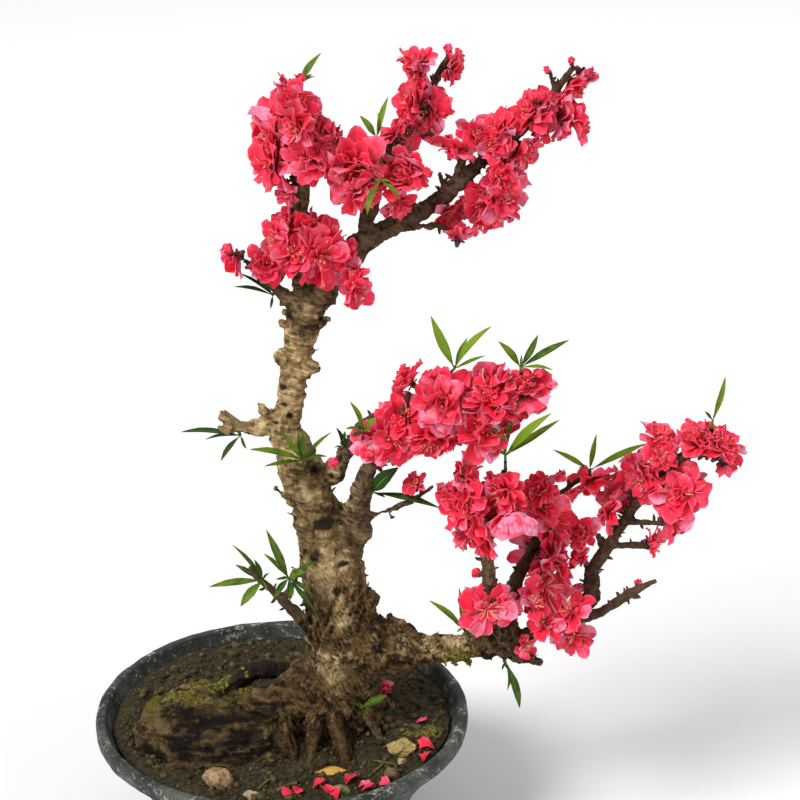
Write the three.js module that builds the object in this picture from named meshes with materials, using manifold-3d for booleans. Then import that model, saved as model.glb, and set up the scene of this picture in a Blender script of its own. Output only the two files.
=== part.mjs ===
// A flowering peach bonsai in a round flared pot. Millimetres, +Z up, origin at the middle of the
// pot's flat base. Seen from the front, from -Y, the tree leans and reaches to the right, along +X.
import * as THREE from "three";
import { mergeVertices } from "three/addons/utils/BufferGeometryUtils.js";
import Module from "manifold-3d";

const wasm = await Module();
wasm.setup();

// Clearance between pieces that touch, and how far a cut piece's flat spots are evened out.
const GAP = 0.35;
const SMOOTH_OVER = 0.02;

// Pot: a round bowl that flares up to a flat-topped rim band.
const POT_HEIGHT = 110;
const RIM_RADIUS = 142;
const RIM_WIDTH = 8;
const RIM_DEPTH = 13;
const POT_WALL = 6;
const POT_FLOOR = 7;
const POT_BASE_RADIUS = 92;
const POT_EDGE = 1.5;
const ROUND_SEGMENTS = 32;
// How far out from the base radius the wall is at each height, and how much higher inside.
const POT_FLARE = [
  [9.5, 45],
  [23, 68],
  [38, 88],
];
const INNER_RISE = 4;

// Drainage: holes through the floor under one loose round screen.
const DRAIN_COUNT = 3;
const DRAIN_RADIUS = 6;
const DRAIN_CIRCLE_RADIUS = 45;
const SCREEN_RADIUS = 62;
const SCREEN_THICKNESS = 1.2;
const SCREEN_HOLES = 12;
const SCREEN_HOLE_RADIUS = 5;

// Soil: level near the rim, a little higher round the trunk.
const SOIL_LEVEL = 102;
const SOIL_HUMP = 6;
const SOIL_HUMP_RADIUS = 55;
const SOIL_WAVE_HEIGHT = 1.2;
const SOIL_WAVE_LENGTH = 17;
const SOIL_EDGE = 6.5;
const SOIL_RINGS = [100, 68, 36];

// Where the trunk leaves the soil, and the room between the roots and the pot.
const TRUNK_FOOT = [41, -5];
const ROOT_CLEARANCE = 6;

// The wood is one grown piece. Each limb is a list of points [x, y, z, radius], from its root to its tip.
const LIMBS = {
  trunk: [
    [40, -5, 85, 40], [46, -6, 132, 31.5], [49, -6, 158, 28.5], [46, -4, 182, 27], [38, 0, 238, 22],
    [35, 2, 263, 21], [25, 3, 285, 17.5], [17, 2, 307, 16.5], [6, -2, 347, 12.5],
    [12, -4, 366, 10.5], [15, -5, 387, 10], [18, -5, 407, 11], [24, -1, 441, 12],
  ],
  left_twig: [[21, -1, 431, 7], [3, -8, 451, 4.4], [-10, -14, 468, 2.4], [-20, -18, 477, 2]],
  crown_left: [
    [24, 0, 436, 10], [22, -6, 474, 8], [21, -12, 519, 7], [24, -15, 563, 5], [23, -14, 581, 4],
    [15, -13, 593, 2.6],
  ],
  right_limb: [
    [26, 0, 436, 10.5], [51, 4, 465, 10], [63, 6, 480, 10], [79, 9, 487, 9], [107, 15, 500, 7],
    [131, 20, 519, 6], [154, 24, 540, 5.2], [184, 28, 562, 4.5], [194, 30, 576, 4],
    [210, 32, 599, 2.2],
  ],
  crown_centre: [
    [63, 6, 480, 7], [68, 2, 501, 6], [78, 2, 537, 5], [86, 6, 551, 4.8], [107, 18, 566, 4.4],
    [109, 22, 579, 4.8], [118, 26, 598, 3], [124, 28, 608, 2],
  ],
  crown_centre_left: [[72, 0, 520, 4.5], [61, -18, 532, 3.5], [52, -30, 542, 2.2]],
  crown_centre_right: [[75, 1, 528, 4.5], [88, -12, 536, 3.2], [98, -20, 542, 2]],
  crown_top_left: [[109, 23, 586, 3.4], [104, 20, 594, 2.6], [99, 18, 602, 1.8]],
  crown_side: [[98, 12, 556, 3.4], [112, 14, 556, 2.6], [122, 14, 548, 2], [130, 14, 542, 1.6]],
  under_twig: [[89, 10, 488, 4], [104, 4, 492, 2.8], [118, 0, 494, 2.3], [127, -4, 488, 1.7]],
  limb_stub_up: [[129, 20, 519, 4], [132, 18, 532, 3.2], [134, 16, 544, 2.4]],
  limb_bud_twig: [[122, 19, 513, 3.4], [120, 17, 521, 2.4], [117, 16, 527, 2]],
  limb_stub: [[103, 14, 498, 5], [98, 11, 506, 4]],
  limb_tip_bud: [[198, 31, 583, 2.8], [195, 31, 591, 2.2], [193, 31, 597, 2.2]],
  left_stub: [
    [5, 0, 344, 10], [-10, -3, 345, 8.5], [-21, -5, 344, 6], [-30, -6, 348, 4.4],
    [-38, -8, 355, 4.6],
  ],
  left_stub_prong: [[-24, -5, 343, 4], [-32, -8, 343, 2.8], [-40, -10, 346, 2]],
  left_stub_knob: [[-5, -4, 354, 6], [-10, -6, 359, 4]],
  mid_branch: [
    [49, -2, 244, 14], [55, -8, 265, 12], [63, -18, 300, 9.5], [66, -24, 317, 7],
    [90, -35, 347, 5.5], [125, -41, 372, 4.5], [163, -39, 386, 3.2], [181, -37, 389, 2.2],
  ],
  mid_left: [
    [32, -4, 300, 9], [45, -12, 313, 8.5], [50, -18, 328, 6], [63, -26, 354, 4],
    [73, -30, 364, 2.6],
  ],
  mid_under: [[59, -12, 273, 6], [74, -18, 281, 4], [100, -28, 297, 2.4], [114, -31, 309, 1.6]],
  mid_cup_twig: [[90, -35, 347, 4], [91, -34, 365, 3], [97, -34, 383, 2.2]],
  mid_bud_twig: [[125, -41, 374, 4], [122, -36, 384, 2.6], [118, -32, 391, 2]],
  spur_leaves: [[15, -10, 314, 7], [20, -20, 326, 5.5], [26, -22, 336, 4.4]],
  lower_left: [
    [32, -14, 175, 9], [20, -20, 191, 5.5], [2, -27, 218, 4.2], [-15, -32, 238, 3],
    [-19, -33, 246, 2],
  ],
  lower_left_up: [[4, -26, 215, 4], [14, -28, 232, 2.6], [19, -30, 243, 1.8]],
  low_limb: [
    [52, -8, 172, 27], [74, -12, 170, 21], [91, -16, 168, 14.5], [109, -20, 170, 10.5],
    [142, -27, 177, 8.8], [158, -30, 181, 10], [180, -33, 173, 6], [194, -34, 168, 2.4],
  ],
  low_a: [
    [164, -30, 182, 9], [159, -36, 208, 6.5], [153, -44, 253, 5.5], [147, -48, 292, 4],
    [140, -46, 309, 3], [134, -44, 323, 2.2],
  ],
  low_a_right: [[151, -45, 265, 4], [158, -44, 283, 3.4], [163, -42, 303, 3], [164, -40, 326, 2.4]],
  low_b: [
    [168, -28, 186, 8.5], [170, -20, 206, 7.5], [180, -6, 231, 5], [194, 2, 254, 4],
    [200, 6, 269, 3.4], [199, 8, 296, 2],
  ],
  low_b_tip: [[202, 8, 280, 3], [216, 8, 292, 2.2], [230, 8, 304, 1.8]],
  low_c: [
    [174, -28, 180, 8], [190, -22, 185, 5.6], [218, -10, 190, 5.2], [228, -4, 198, 5.6],
    [234, 0, 204, 6.4], [233, 4, 224, 5.2], [242, 8, 237, 5.2], [259, 10, 267, 4.6],
    [278, 6, 296, 4], [296, -2, 320, 4], [308, -4, 322, 2.8], [319, -6, 321, 1.8],
  ],
  low_c_stub: [[242, 8, 239, 3.6], [237, 10, 252, 3.6]],
  low_c_mid: [[247, 9, 242, 4], [257, 6, 244, 3], [269, 4, 245, 3.4], [277, 2, 244, 2]],
  low_c_under: [[256, 10, 262, 4], [271, 4, 264, 3], [287, 0, 264, 1.9]],
  low_d: [[221, -10, 191, 4.6], [239, -14, 198, 4], [262, -20, 219, 4], [278, -24, 230, 2]],
  burl_right: [[60, -8, 201, 16], [69, -8, 196, 12]],
  burl_low: [[78, -12, 183, 12], [83, -12, 174, 12]],
  burl_limb: [[95, -16, 181, 7.5], [97, -16, 173, 8]],
  burl_limb2: [[115, -20, 178, 4.5], [118, -20, 173, 6]],
  root_thin: [[5, -28, 129, 4], [7, -44, 116, 2.8], [17, -66, 95, 2.4], [18, -70, 85, 2]],
  root_mid: [[28, -30, 119, 8], [25, -50, 106, 4.8], [22, -68, 94, 4], [21, -72, 85, 3.4]],
  root_thick: [[42, -30, 119, 10], [48, -52, 105, 6.2], [55, -70, 90, 5.2], [58, -76, 82, 4.2]],
  root_right: [[59, 0, 110, 14], [81, 18, 95, 8], [96, 34, 81, 5], [110, 46, 69, 3]],
  root_back: [[36, 20, 104, 16], [28, 48, 93, 8], [23, 66, 83, 4]],
  spur_a: [[11, 0, 281, 4], [4, -2, 288, 2.4], [-1, -4, 294, 1.2]],
  spur_b: [[16, 1, 268, 4], [6, -2, 275, 1.2]],
  spur_c: [[20, -4, 240, 5], [15, -6, 243, 2]],
  spur_d: [[54, -4, 228, 5], [63, -6, 233, 1.2]],
  spur_e: [[56, -4, 210, 5], [65, -6, 216, 1.2]],
  spur_f: [[31, -3, 421, 4], [38, -4, 424, 1]],
  spur_g: [[23, -5, 391, 4], [32, -6, 392, 1.6]],
  spur_h: [[13, -4, 417, 4], [6, -5, 424, 1]],
  spur_i: [[12, -5, 402, 4], [3, -6, 405, 1.4]],
  spur_j: [[16, -2, 428, 4], [7, -3, 431, 1]],
  spur_k: [[19, -2, 440, 5], [20, -16, 459, 4]],
  stump_ridge: [[-52, 4, 121, 5], [-33, 12, 128, 7], [-12, 18, 133, 7.5], [8, 20, 132, 6]],
  buttress_left: [[37, -6, 140, 25], [8, -14, 124, 20], [-22, -22, 111, 16]],
};

// The old rootstock that the moss grows on: a boxy mass [middle], [half sizes] beside the trunk's foot.
const ROOTSTOCK = { middle: [-46, -22, 85], half: [68, 58, 38] };

// Blossoms of each spray: [x, y, z, width], the middle and the width of the open flower.
const SPRAYS = {
  crown_left: [
    [1, -18, 579, 40], [-3, -20, 556, 42], [13, -38, 572, 40], [27, -30, 588, 34],
    [37, -18, 579, 40], [13, -14, 595, 28], [16, 14, 567, 38], [31, 12, 561, 38], [3, -26, 544, 38],
    [41, -22, 560, 38], [31, -36, 552, 36], [4, 8, 546, 36], [29, 6, 541, 36], [15, -26, 520, 26],
  ],
  fork_left: [
    [2, -26, 495, 42], [-1, -28, 474, 40], [20, -36, 486, 38], [10, -22, 503, 26], [10, 8, 474, 36],
  ],
  fork_left_single: [[-28, -18, 473, 30]],
  fork_right: [
    [42, -22, 499, 38], [42, -34, 477, 42], [57, -18, 482, 34], [57, -26, 466, 34],
    [60, -30, 454, 38], [32, 14, 475, 38],
  ],
  crown_centre: [
    [57, -42, 540, 44], [73, -32, 523, 38], [62, -22, 554, 34], [51, -14, 563, 28],
    [93, -26, 536, 46], [87, -14, 548, 38], [92, -20, 513, 32], [70, 22, 526, 38],
    [91, 20, 531, 38],
  ],
  crown_top: [
    [101, 17, 611, 30], [91, 14, 598, 34], [93, 12, 582, 36], [129, 28, 600, 30],
    [118, 26, 577, 36], [109, 10, 572, 36], [98, 6, 563, 28], [83, 2, 562, 28], [110, 42, 576, 34],
  ],
  limb_above: [
    [129, 12, 555, 40], [145, 12, 561, 40], [160, 16, 565, 38], [174, 20, 573, 36],
    [188, 24, 578, 38], [157, 8, 552, 34], [148, 44, 539, 38], [170, 48, 529, 38],
    [193, 48, 563, 34],
  ],
  limb_below: [
    [125, 10, 499, 44], [143, 4, 508, 44], [161, 8, 513, 46], [174, 14, 523, 42],
    [179, 20, 531, 36], [152, 2, 529, 38], [160, 14, 497, 38], [181, 20, 544, 30],
    [131, 2, 486, 28],
  ],
  limb_tip: [
    [215, 30, 583, 38], [223, 32, 592, 24], [212, 28, 566, 34], [201, 22, 572, 30],
    [210, 28, 555, 30], [194, 22, 556, 28],
  ],
  mid_cup: [[93, -34, 393, 32]],
  mid_left: [[85, -50, 347, 48], [72, -44, 358, 40], [90, -42, 372, 42], [87, -12, 343, 38]],
  mid_centre: [
    [108, -48, 381, 42], [118, -52, 354, 38], [126, -58, 385, 46], [139, -58, 368, 44],
    [129, -44, 344, 36], [111, -12, 352, 40], [136, -14, 367, 40],
  ],
  mid_right: [
    [146, -44, 399, 40], [159, -54, 391, 46], [174, -40, 397, 34], [186, -36, 384, 40],
    [167, -48, 370, 42], [183, -38, 371, 34], [153, -48, 352, 36], [163, -14, 364, 38],
  ],
  mid_single: [[101, -32, 313, 28]],
  low_ball: [
    [136, -52, 331, 42], [132, -58, 317, 44], [121, -48, 301, 38], [137, -54, 293, 42],
    [133, -50, 274, 28], [157, -56, 313, 34], [150, -50, 294, 32], [149, -20, 293, 38],
  ],
  low_centre: [
    [171, -66, 285, 46], [179, -36, 312, 40], [195, -14, 309, 40], [191, -20, 291, 38],
    [209, -8, 271, 46], [224, -2, 260, 36], [211, -10, 252, 42], [228, -4, 243, 30],
    [180, 12, 268, 38], [203, 26, 234, 38],
  ],
  low_star: [
    [207, -24, 237, 40], [200, -32, 225, 36], [214, -36, 219, 38], [189, -40, 222, 36],
    [196, -42, 207, 38], [219, -42, 200, 40], [210, 2, 207, 36],
  ],
  low_front: [[151, -50, 231, 40], [152, -58, 219, 46], [170, -46, 225, 36], [164, -10, 207, 34]],
  low_under: [[183, -40, 185, 34]],
  right_left: [
    [237, 8, 288, 38], [245, 4, 274, 36], [255, 0, 311, 42], [266, -8, 296, 36], [268, 26, 296, 36],
  ],
  right_mid: [[275, 0, 340, 36], [280, -14, 330, 36], [299, -6, 337, 40], [299, 22, 298, 36]],
  right_low: [
    [282, -22, 297, 46], [295, -16, 282, 40], [310, -6, 291, 38], [295, 0, 264, 36],
    [305, 0, 306, 30],
  ],
  right_tip: [
    [325, -8, 335, 46], [334, -4, 326, 34], [318, 0, 341, 34], [328, -6, 312, 24],
    [318, 18, 316, 34],
  ],
  right_single: [[281, 0, 245, 30]],
};

// Leaf shoots: first the point [x, y, z] where the leaves part, then each leaf's tip and width.
const SHOOTS = {
  crown_left: [[23, -12, 597], [37, -6, 617, 6], [19, -20, 606, 4], [30, 4, 610, 4]],
  crown_centre_top: [
    [74, -16, 561], [63, -22, 578, 7], [75, -14, 578, 5], [82, -10, 588, 6], [68, -26, 553, 6],
  ],
  crown_centre_low: [[77, -36, 537], [68, -46, 516, 8], [90, -44, 526, 5]],
  fork_left: [[1, -12, 447], [-18, -20, 475, 8], [-22, -14, 464, 5], [-25, -20, 456, 6]],
  left_stub: [[-25, -9, 339], [-67, -14, 344, 8], [-39, -16, 322, 6], [-51, -2, 333, 5]],
  trunk_spur: [
    [21, -26, 327], [-17, -34, 339, 8], [-7, -32, 325, 5], [6, -26, 350, 6], [17, -22, 347, 6],
    [21, -30, 354, 5], [41, -24, 348, 5], [38, -28, 331, 5],
  ],
  mid_small: [[49, -26, 338], [45, -28, 353, 6], [51, -22, 348, 5]],
  lower_left_outer: [
    [-10, -34, 235], [-48, -46, 236, 8], [-31, -36, 265, 5], [-30, -28, 245, 6],
    [-26, -42, 218, 10], [-15, -40, 255, 6],
  ],
  lower_left_inner: [
    [9, -34, 237], [-6, -40, 279, 9], [-9, -30, 255, 6], [31, -36, 252, 7], [22, -42, 246, 11],
    [10, -40, 222, 8],
  ],
  mid_left: [[64, -35, 353], [55, -40, 378, 7], [76, -41, 366, 8], [52, -46, 360, 6]],
  mid_top: [
    [128, -38, 402], [111, -46, 444, 10], [153, -40, 434, 9], [137, -30, 422, 6],
    [149, -44, 414, 4],
  ],
  mid_right: [
    [174, -36, 402], [158, -40, 423, 8], [186, -32, 425, 7], [207, -40, 424, 8], [196, -46, 404, 5],
  ],
  mid_low: [
    [164, -48, 340], [145, -56, 380, 10], [173, -48, 382, 6], [195, -54, 375, 10],
    [202, -44, 366, 7], [149, -54, 352, 4],
  ],
  right_shoot: [[229, 6, 305], [201, -2, 325, 6], [233, 6, 334, 6], [271, 12, 324, 7]],
  right_tip_leaf: [[316, 0, 347], [323, -2, 382, 7]],
  low_limb_sprout: [
    [136, -34, 196], [111, -42, 223, 7], [133, -36, 231, 5], [140, -34, 221, 5], [128, -30, 202, 4],
  ],
  low_limb_hanging: [[168, -34, 168], [179, -40, 132, 9], [170, -34, 144, 6]],
  trunk_base_leaf: [[61, -34, 129], [80, -30, 137, 8]],
  mid_shade: [[70, -22, 300], [89, -34, 325, 16], [119, -34, 293, 9], [78, -14, 308, 12]],
};

// Things that lie on the soil or grow over it: [middle], [half sizes].
const STONES = {
  stone_tan: { middle: [91, -51, 105], half: [12, 9, 7] },
  stone_tan_small: { middle: [92, -69, 103], half: [6, 5, 4] },
  stone_brown: { middle: [83, -85, 103], half: [8, 7, 6] },
  stone_olive: { middle: [47, -107, 102], half: [9, 6, 5] },
  stone_round: { middle: [-42, -93, 103], half: [12, 9, 10] },
  stone_pale: { middle: [-15, -112, 102], half: [8, 5, 4] },
};
const MOSSES = {
  moss_on_rootstock: { middle: [-52, -8, 121], half: [42, 26, 5] },
  moss_on_soil: { middle: [106, -26, 103], half: [15, 12, 3] },
  moss_on_limb: { middle: [136, -30, 171], half: [13, 6, 6] },
};
const FALLEN_PETALS = {
  fallen_petal_front: [64, -97, 104],
  fallen_petal_right: [110, -50, 104.5],
};
const FALLEN_LEAF = { from: [30, -85, 103.5], to: [50, -84, 104], width: 8 };
const FALLEN_BLOSSOM = { foot: [74, 31, 102], middle: [74, 26, 113], width: 26 };

// Limbs over a radius have this many sides, and the oldest have ridges.
const LIMB_SIDES = [
  [15, 12],
  [7, 7],
  [3.5, 5],
  [0, 4],
];
const OLD_WOOD_RADIUS = 10;

// Flower and leaf proportions, in parts of the flower's width or in millimetres.
const CUP_DEPTH = 0.42;
const LEAST_DEPTH = 0.25;
const LIP_DEPTH = 0.08;
const FLOWER_SIDES = 5;
// The flower's outline over its seat, [share of its half width, share of its depth].
const FLOWER_OUTLINE = [
  [0, 0.84],
  [0.5, 1],
  [1, 0.68],
];
const SPUR_RADIUS = 1.6;
const STEM_RADIUS = 1.3;
const STICK_SIDES = 3;
const LEAF_JOINT = 3;
const LEAF_THICKNESS = 0.8;
const LONG_LEAF = 32;
const LEAF_ARCH = 0.12;
const LEAF_FACING = new THREE.Vector3(0, -0.6, 0.8);
const LIMB_FACING = new THREE.Vector3(0.25, 1, 0.15);

const FLOWER_AXIS = new THREE.Vector3(0, 1, 0);

// A closed geometry as a solid that can be joined and cut.
function solid(geometry) {
  const bare = geometry.clone();
  bare.deleteAttribute("normal");
  bare.deleteAttribute("uv");
  const merged = mergeVertices(bare, 1e-4);
  return new wasm.Manifold(
    new wasm.Mesh({
      numProp: 3,
      vertProperties: merged.attributes.position.array,
      triVerts: new Uint32Array(merged.index.array),
    }),
  );
}

function join(solids) {
  return solids.reduce((all, one) => all.add(one));
}

// The largest body of a solid, without the crumbs that a cut leaves.
function mainBody(cut) {
  return cut.decompose().sort((a, b) => b.volume() - a.volume())[0].simplify(SMOOTH_OVER);
}

function vector([x, y, z]) {
  return new THREE.Vector3(x, y, z);
}

// A closed form of unit radius, from -0.5 to 0.5 along Y, bent along a smooth curve. section(t, angle)
// gives its half width and half thickness at t from 0 to 1 along the curve, facing is the way that its
// thickness looks, and it runs on past both ends of the curve by more.
function bend(form, points, section, facing, more) {
  const curve = new THREE.CatmullRomCurve3(points, false, "centripetal");
  const place = form.attributes.position;
  for (let i = 0; i < place.count; i++) {
    const t = THREE.MathUtils.clamp(place.getY(i) + 0.5, 0, 1);
    const along = curve.getTangent(t);
    const across = new THREE.Vector3().crossVectors(along, facing).normalize();
    const outward = new THREE.Vector3().crossVectors(across, along);
    const [wide, thick] = section(t, Math.atan2(place.getX(i), place.getZ(i)));
    const past = t === 0 ? -more : t === 1 ? more : 0;
    const point = curve
      .getPoint(t)
      .addScaledVector(along, past)
      .addScaledVector(across, place.getX(i) * wide)
      .addScaledVector(outward, place.getZ(i) * thick);
    place.setXYZ(i, point.x, point.y, point.z);
  }
  return solid(form);
}

// How far out the corners of a section go, to bring its flat sides out by a clearance.
function cornerGrowth(grow, sides) {
  return grow / Math.cos(Math.PI / sides);
}

// A thin straight stick from one point to another.
function stick(from, to, thick, grow) {
  const rod = new THREE.CylinderGeometry(1, 1, 1, STICK_SIDES, 1);
  const radius = thick + cornerGrowth(grow, STICK_SIDES);
  return bend(rod, [from, to], () => [radius, radius], LIMB_FACING, grow);
}

// A number list's value at t, straight between its entries.
function between(list, t) {
  const at = t * (list.length - 1);
  const low = Math.min(Math.floor(at), list.length - 2);
  return THREE.MathUtils.lerp(list[low], list[low + 1], at - low);
}

// More sides on a thicker limb, and shallow ridges on the old wood.
function limb(points, grow = 0) {
  const thickest = Math.max(...points.map((point) => point[3]));
  const [, sides] = LIMB_SIDES.find(([from]) => thickest > from);
  const radii = points.map((point) => point[3] + cornerGrowth(grow, sides));
  const ridge = thickest > OLD_WOOD_RADIUS ? 0.05 : 0;
  const section = (t, angle) => {
    const radius = between(radii, t) * (1 + ridge * Math.sin(3 * angle + 9 * t));
    return [radius, radius];
  };
  const tube = new THREE.CylinderGeometry(1, 1, 1, sides, points.length - 1);
  return bend(tube, points.map(vector), section, LIMB_FACING, grow);
}

// A rounded mass, boxier with a higher power, with shallow waves over it.
function mass({ middle, half }, { power = 2, waves = 0, grow = 0, sides = 12 } = {}) {
  const ball = new THREE.SphereGeometry(1, sides, Math.round(sides * 0.6));
  const place = ball.attributes.position;
  for (let i = 0; i < place.count; i++) {
    const way = new THREE.Vector3().fromBufferAttribute(place, i);
    const reach =
      (Math.abs(way.x) ** power + Math.abs(way.y) ** power + Math.abs(way.z) ** power) ** (-1 / power);
    const wave = 1 + waves * Math.sin(5 * way.x + 3 * way.z) * Math.sin(4 * way.y + 7 * way.z);
    const [x, y, z] = [way.x, way.y, way.z].map((w, k) => middle[k] + w * reach * wave * (half[k] + grow));
    place.setXYZ(i, x, y, z);
  }
  return solid(ball);
}

// Every limb's middle line, to find the wood that carries a flower or a leaf.
const WOOD = Object.values(LIMBS).flatMap((points) => {
  const curve = new THREE.CatmullRomCurve3(points.map(vector), false, "centripetal");
  const radii = points.map((point) => point[3]);
  const samples = 6 * (points.length - 1);
  return Array.from({ length: samples + 1 }, (_, i) => ({
    point: curve.getPoint(i / samples),
    radius: between(radii, i / samples),
  }));
});

function nearestWood(place) {
  const away = (sample) => sample.point.distanceTo(place) - sample.radius;
  return WOOD.reduce((best, sample) => (away(sample) < away(best) ? sample : best));
}

// Where a flower sits: at the bark, or at the tip of a short flowering spur that reaches it.
function flowerSeat([x, y, z, width]) {
  const middle = new THREE.Vector3(x, y, z);
  const wood = nearestWood(middle);
  const reach = wood.point.distanceTo(middle);
  const axis = middle.clone().sub(wood.point).normalize();
  const seat = wood.point.clone().addScaledVector(axis, Math.max(reach - CUP_DEPTH * width, 0));
  return { wood, axis, seat, middle, hasSpur: reach - CUP_DEPTH * width > wood.radius };
}

// A flowering spur from inside the wood to the flower's seat.
function spur({ wood, seat }, grow = 0) {
  return stick(wood.point, seat, SPUR_RADIUS, grow);
}

// An open double flower: a cup of revolution with a dished middle.
function flower({ seat, middle, axis }, width, grow = 0) {
  const half = width / 2 + cornerGrowth(grow, FLOWER_SIDES);
  const depth = Math.max(seat.distanceTo(middle), LEAST_DEPTH * width) + LIP_DEPTH * width;
  const outline = FLOWER_OUTLINE.map(([out, up]) => [out * half, up * depth + grow]);
  // Grown, the lip is a band, so that the underside moves out too.
  if (grow > 0) outline.push([half, outline.at(-1)[1] - 2.5 * grow]);
  outline.push([0, GAP - 1.5 * grow]);
  const places = outline.map(([out, up]) => new THREE.Vector2(out, up)).reverse();
  const cup = new THREE.LatheGeometry(places, FLOWER_SIDES);
  cup.applyQuaternion(new THREE.Quaternion().setFromUnitVectors(FLOWER_AXIS, axis));
  cup.translate(seat.x, seat.y, seat.z);
  return solid(cup);
}

// A narrow leaf that arches from its foot to its tip.
function leaf(foot, tip, width, grow = 0) {
  const length = foot.distanceTo(tip);
  const middle = foot.clone().lerp(tip, 0.5);
  middle.z += LEAF_ARCH * length;
  const swell = 1 + grow / LEAF_THICKNESS;
  const section = () => [(swell * width) / 2, swell * LEAF_THICKNESS];
  const lens = new THREE.SphereGeometry(1, 4, length > LONG_LEAF ? 4 : 3).scale(1, 0.5, 1);
  return bend(lens, [foot, middle, tip], section, LEAF_FACING, 4 * grow);
}

// A shoot: a green stem out of the wood, and its leaves.
function shoot([foot, ...leaves], grow = 0) {
  const base = vector(foot);
  const wood = nearestWood(base);
  const end = base.clone().add(base.clone().sub(wood.point).setLength(LEAF_JOINT));
  const stem = stick(wood.point, end, STEM_RADIUS, grow);
  return join([stem, ...leaves.map((tip) => leaf(base, vector(tip), tip[3], grow))]);
}

// The pot's outer wall, from the middle of its base up to the rim's outer edge.
const OUTER_WALL = [
  [0, 0],
  [POT_BASE_RADIUS - POT_EDGE, 0],
  [POT_BASE_RADIUS, POT_EDGE],
  ...POT_FLARE.map(([out, z]) => [POT_BASE_RADIUS + out, z]),
  [RIM_RADIUS - RIM_WIDTH + POT_EDGE, POT_HEIGHT - RIM_DEPTH],
  [RIM_RADIUS, POT_HEIGHT - RIM_DEPTH],
  [RIM_RADIUS, POT_HEIGHT - POT_EDGE],
  [RIM_RADIUS - POT_EDGE, POT_HEIGHT],
];

// The inner wall at a clearance from it, from the rim down to the middle of the floor.
function innerWall(clearance) {
  const inward = POT_BASE_RADIUS - POT_WALL - clearance;
  return [
    [RIM_RADIUS - RIM_WIDTH - clearance, POT_HEIGHT],
    ...POT_FLARE.map(([out, z]) => [inward + out, z + INNER_RISE]).reverse(),
    [inward - POT_EDGE, POT_FLOOR],
  ];
}

// A form of revolution about Z from its outline [radius, height].
function revolved(outline) {
  const places = outline.map(([radius, z]) => new THREE.Vector2(radius, z));
  return new THREE.LatheGeometry(places, ROUND_SEGMENTS).rotateX(Math.PI / 2);
}

function turned(outline) {
  return solid(revolved(outline));
}

// A ring of upright drills to cut from a plate.
function drills(count, circle, radius, sides) {
  return join(
    Array.from({ length: count }, (_, i) => {
      const angle = (2 * Math.PI * (i + 0.5)) / count;
      const drill = new THREE.CylinderGeometry(radius, radius, POT_HEIGHT, sides).rotateX(Math.PI / 2);
      return solid(drill.translate(circle * Math.cos(angle), circle * Math.sin(angle), 0));
    }),
  );
}

function makePot() {
  const bowl = turned([...OUTER_WALL, ...innerWall(0), [0, POT_FLOOR]]);
  return bowl.subtract(drills(DRAIN_COUNT, DRAIN_CIRCLE_RADIUS, DRAIN_RADIUS, 12));
}

function makeScreen() {
  const low = POT_FLOOR + GAP;
  const high = low + SCREEN_THICKNESS;
  const disc = turned([
    [0, low],
    [SCREEN_RADIUS, low],
    [SCREEN_RADIUS, high],
    [0, high],
  ]);
  return disc.subtract(drills(SCREEN_HOLES, DRAIN_CIRCLE_RADIUS, SCREEN_HOLE_RADIUS, 6));
}

function soilHeight(x, y) {
  const away = Math.hypot(x - TRUNK_FOOT[0], y - TRUNK_FOOT[1]) / SOIL_HUMP_RADIUS;
  const waves = Math.sin(x / SOIL_WAVE_LENGTH) * Math.cos((x + 2 * y) / SOIL_WAVE_LENGTH);
  return SOIL_LEVEL + SOIL_HUMP * Math.exp(-away * away) + SOIL_WAVE_HEIGHT * waves;
}

function makeSoil() {
  const floor = POT_FLOOR + SCREEN_THICKNESS + 2 * GAP;
  const [, ...wall] = innerWall(2 * GAP).reverse();
  const [rimRadius] = wall.pop();
  const rings = [rimRadius - SOIL_EDGE, ...SOIL_RINGS, 0];
  const top = rings.map((radius) => [radius, SOIL_LEVEL]);
  const bed = revolved([[0, floor], [POT_BASE_RADIUS - 2 * POT_WALL, floor], ...wall, ...top]);
  const place = bed.attributes.position;
  for (let i = 0; i < place.count; i++) {
    const isTop = place.getZ(i) > SOIL_LEVEL - GAP;
    if (isTop) place.setZ(i, soilHeight(place.getX(i), place.getY(i)));
  }
  return solid(bed);
}

const root = new THREE.Group();
root.name = "flowering_peach_bonsai";

// Adds a solid to the group as a named mesh.
function show(name, shape, [color, roughness]) {
  const { vertProperties, triVerts } = shape.getMesh();
  const geometry = new THREE.BufferGeometry();
  geometry.setAttribute("position", new THREE.BufferAttribute(new Float32Array(vertProperties), 3));
  geometry.setIndex(new THREE.BufferAttribute(new Uint32Array(triVerts), 1));
  geometry.computeVertexNormals();
  const mesh = new THREE.Mesh(geometry, new THREE.MeshStandardMaterial({ color, roughness }));
  mesh.name = name;
  root.add(mesh);
}

// Finishes: colour and roughness.
const GLAZE = [0x46524f, 0.6];
const SCREEN_PLASTIC = [0x2b2d2b, 0.7];
const EARTH = [0x2e241b, 0.95];
const BARK = [0x8a6f4c, 0.85];
const LEAF_GREEN = [0x5d8a2c, 0.55];
const PETAL = [0xe83d62, 0.6];
const MOSS_GREEN = [0x6c6a2a, 0.95];
const STONE_TAN = [0xa08a5e, 0.8];
const DRY_LEAF = [0xc9a04a, 0.7];

const seats = Object.values(SPRAYS).flat().map(flowerSeat);
const spurs = seats.filter((seat) => seat.hasSpur);

// The wood, grown by a clearance to make the room that it takes up.
function makeWood(grow) {
  const limbs = Object.values(LIMBS).map((points) => limb(points, grow));
  const rootstock = mass(ROOTSTOCK, { power: 3, waves: 0.05, grow, sides: 18 });
  const wood = join([...limbs, rootstock, ...spurs.map((seat) => spur(seat, grow))]);
  return wood.subtract(turned([...OUTER_WALL, ...innerWall(ROOT_CLEARANCE - grow), [0, POT_FLOOR]]));
}

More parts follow.
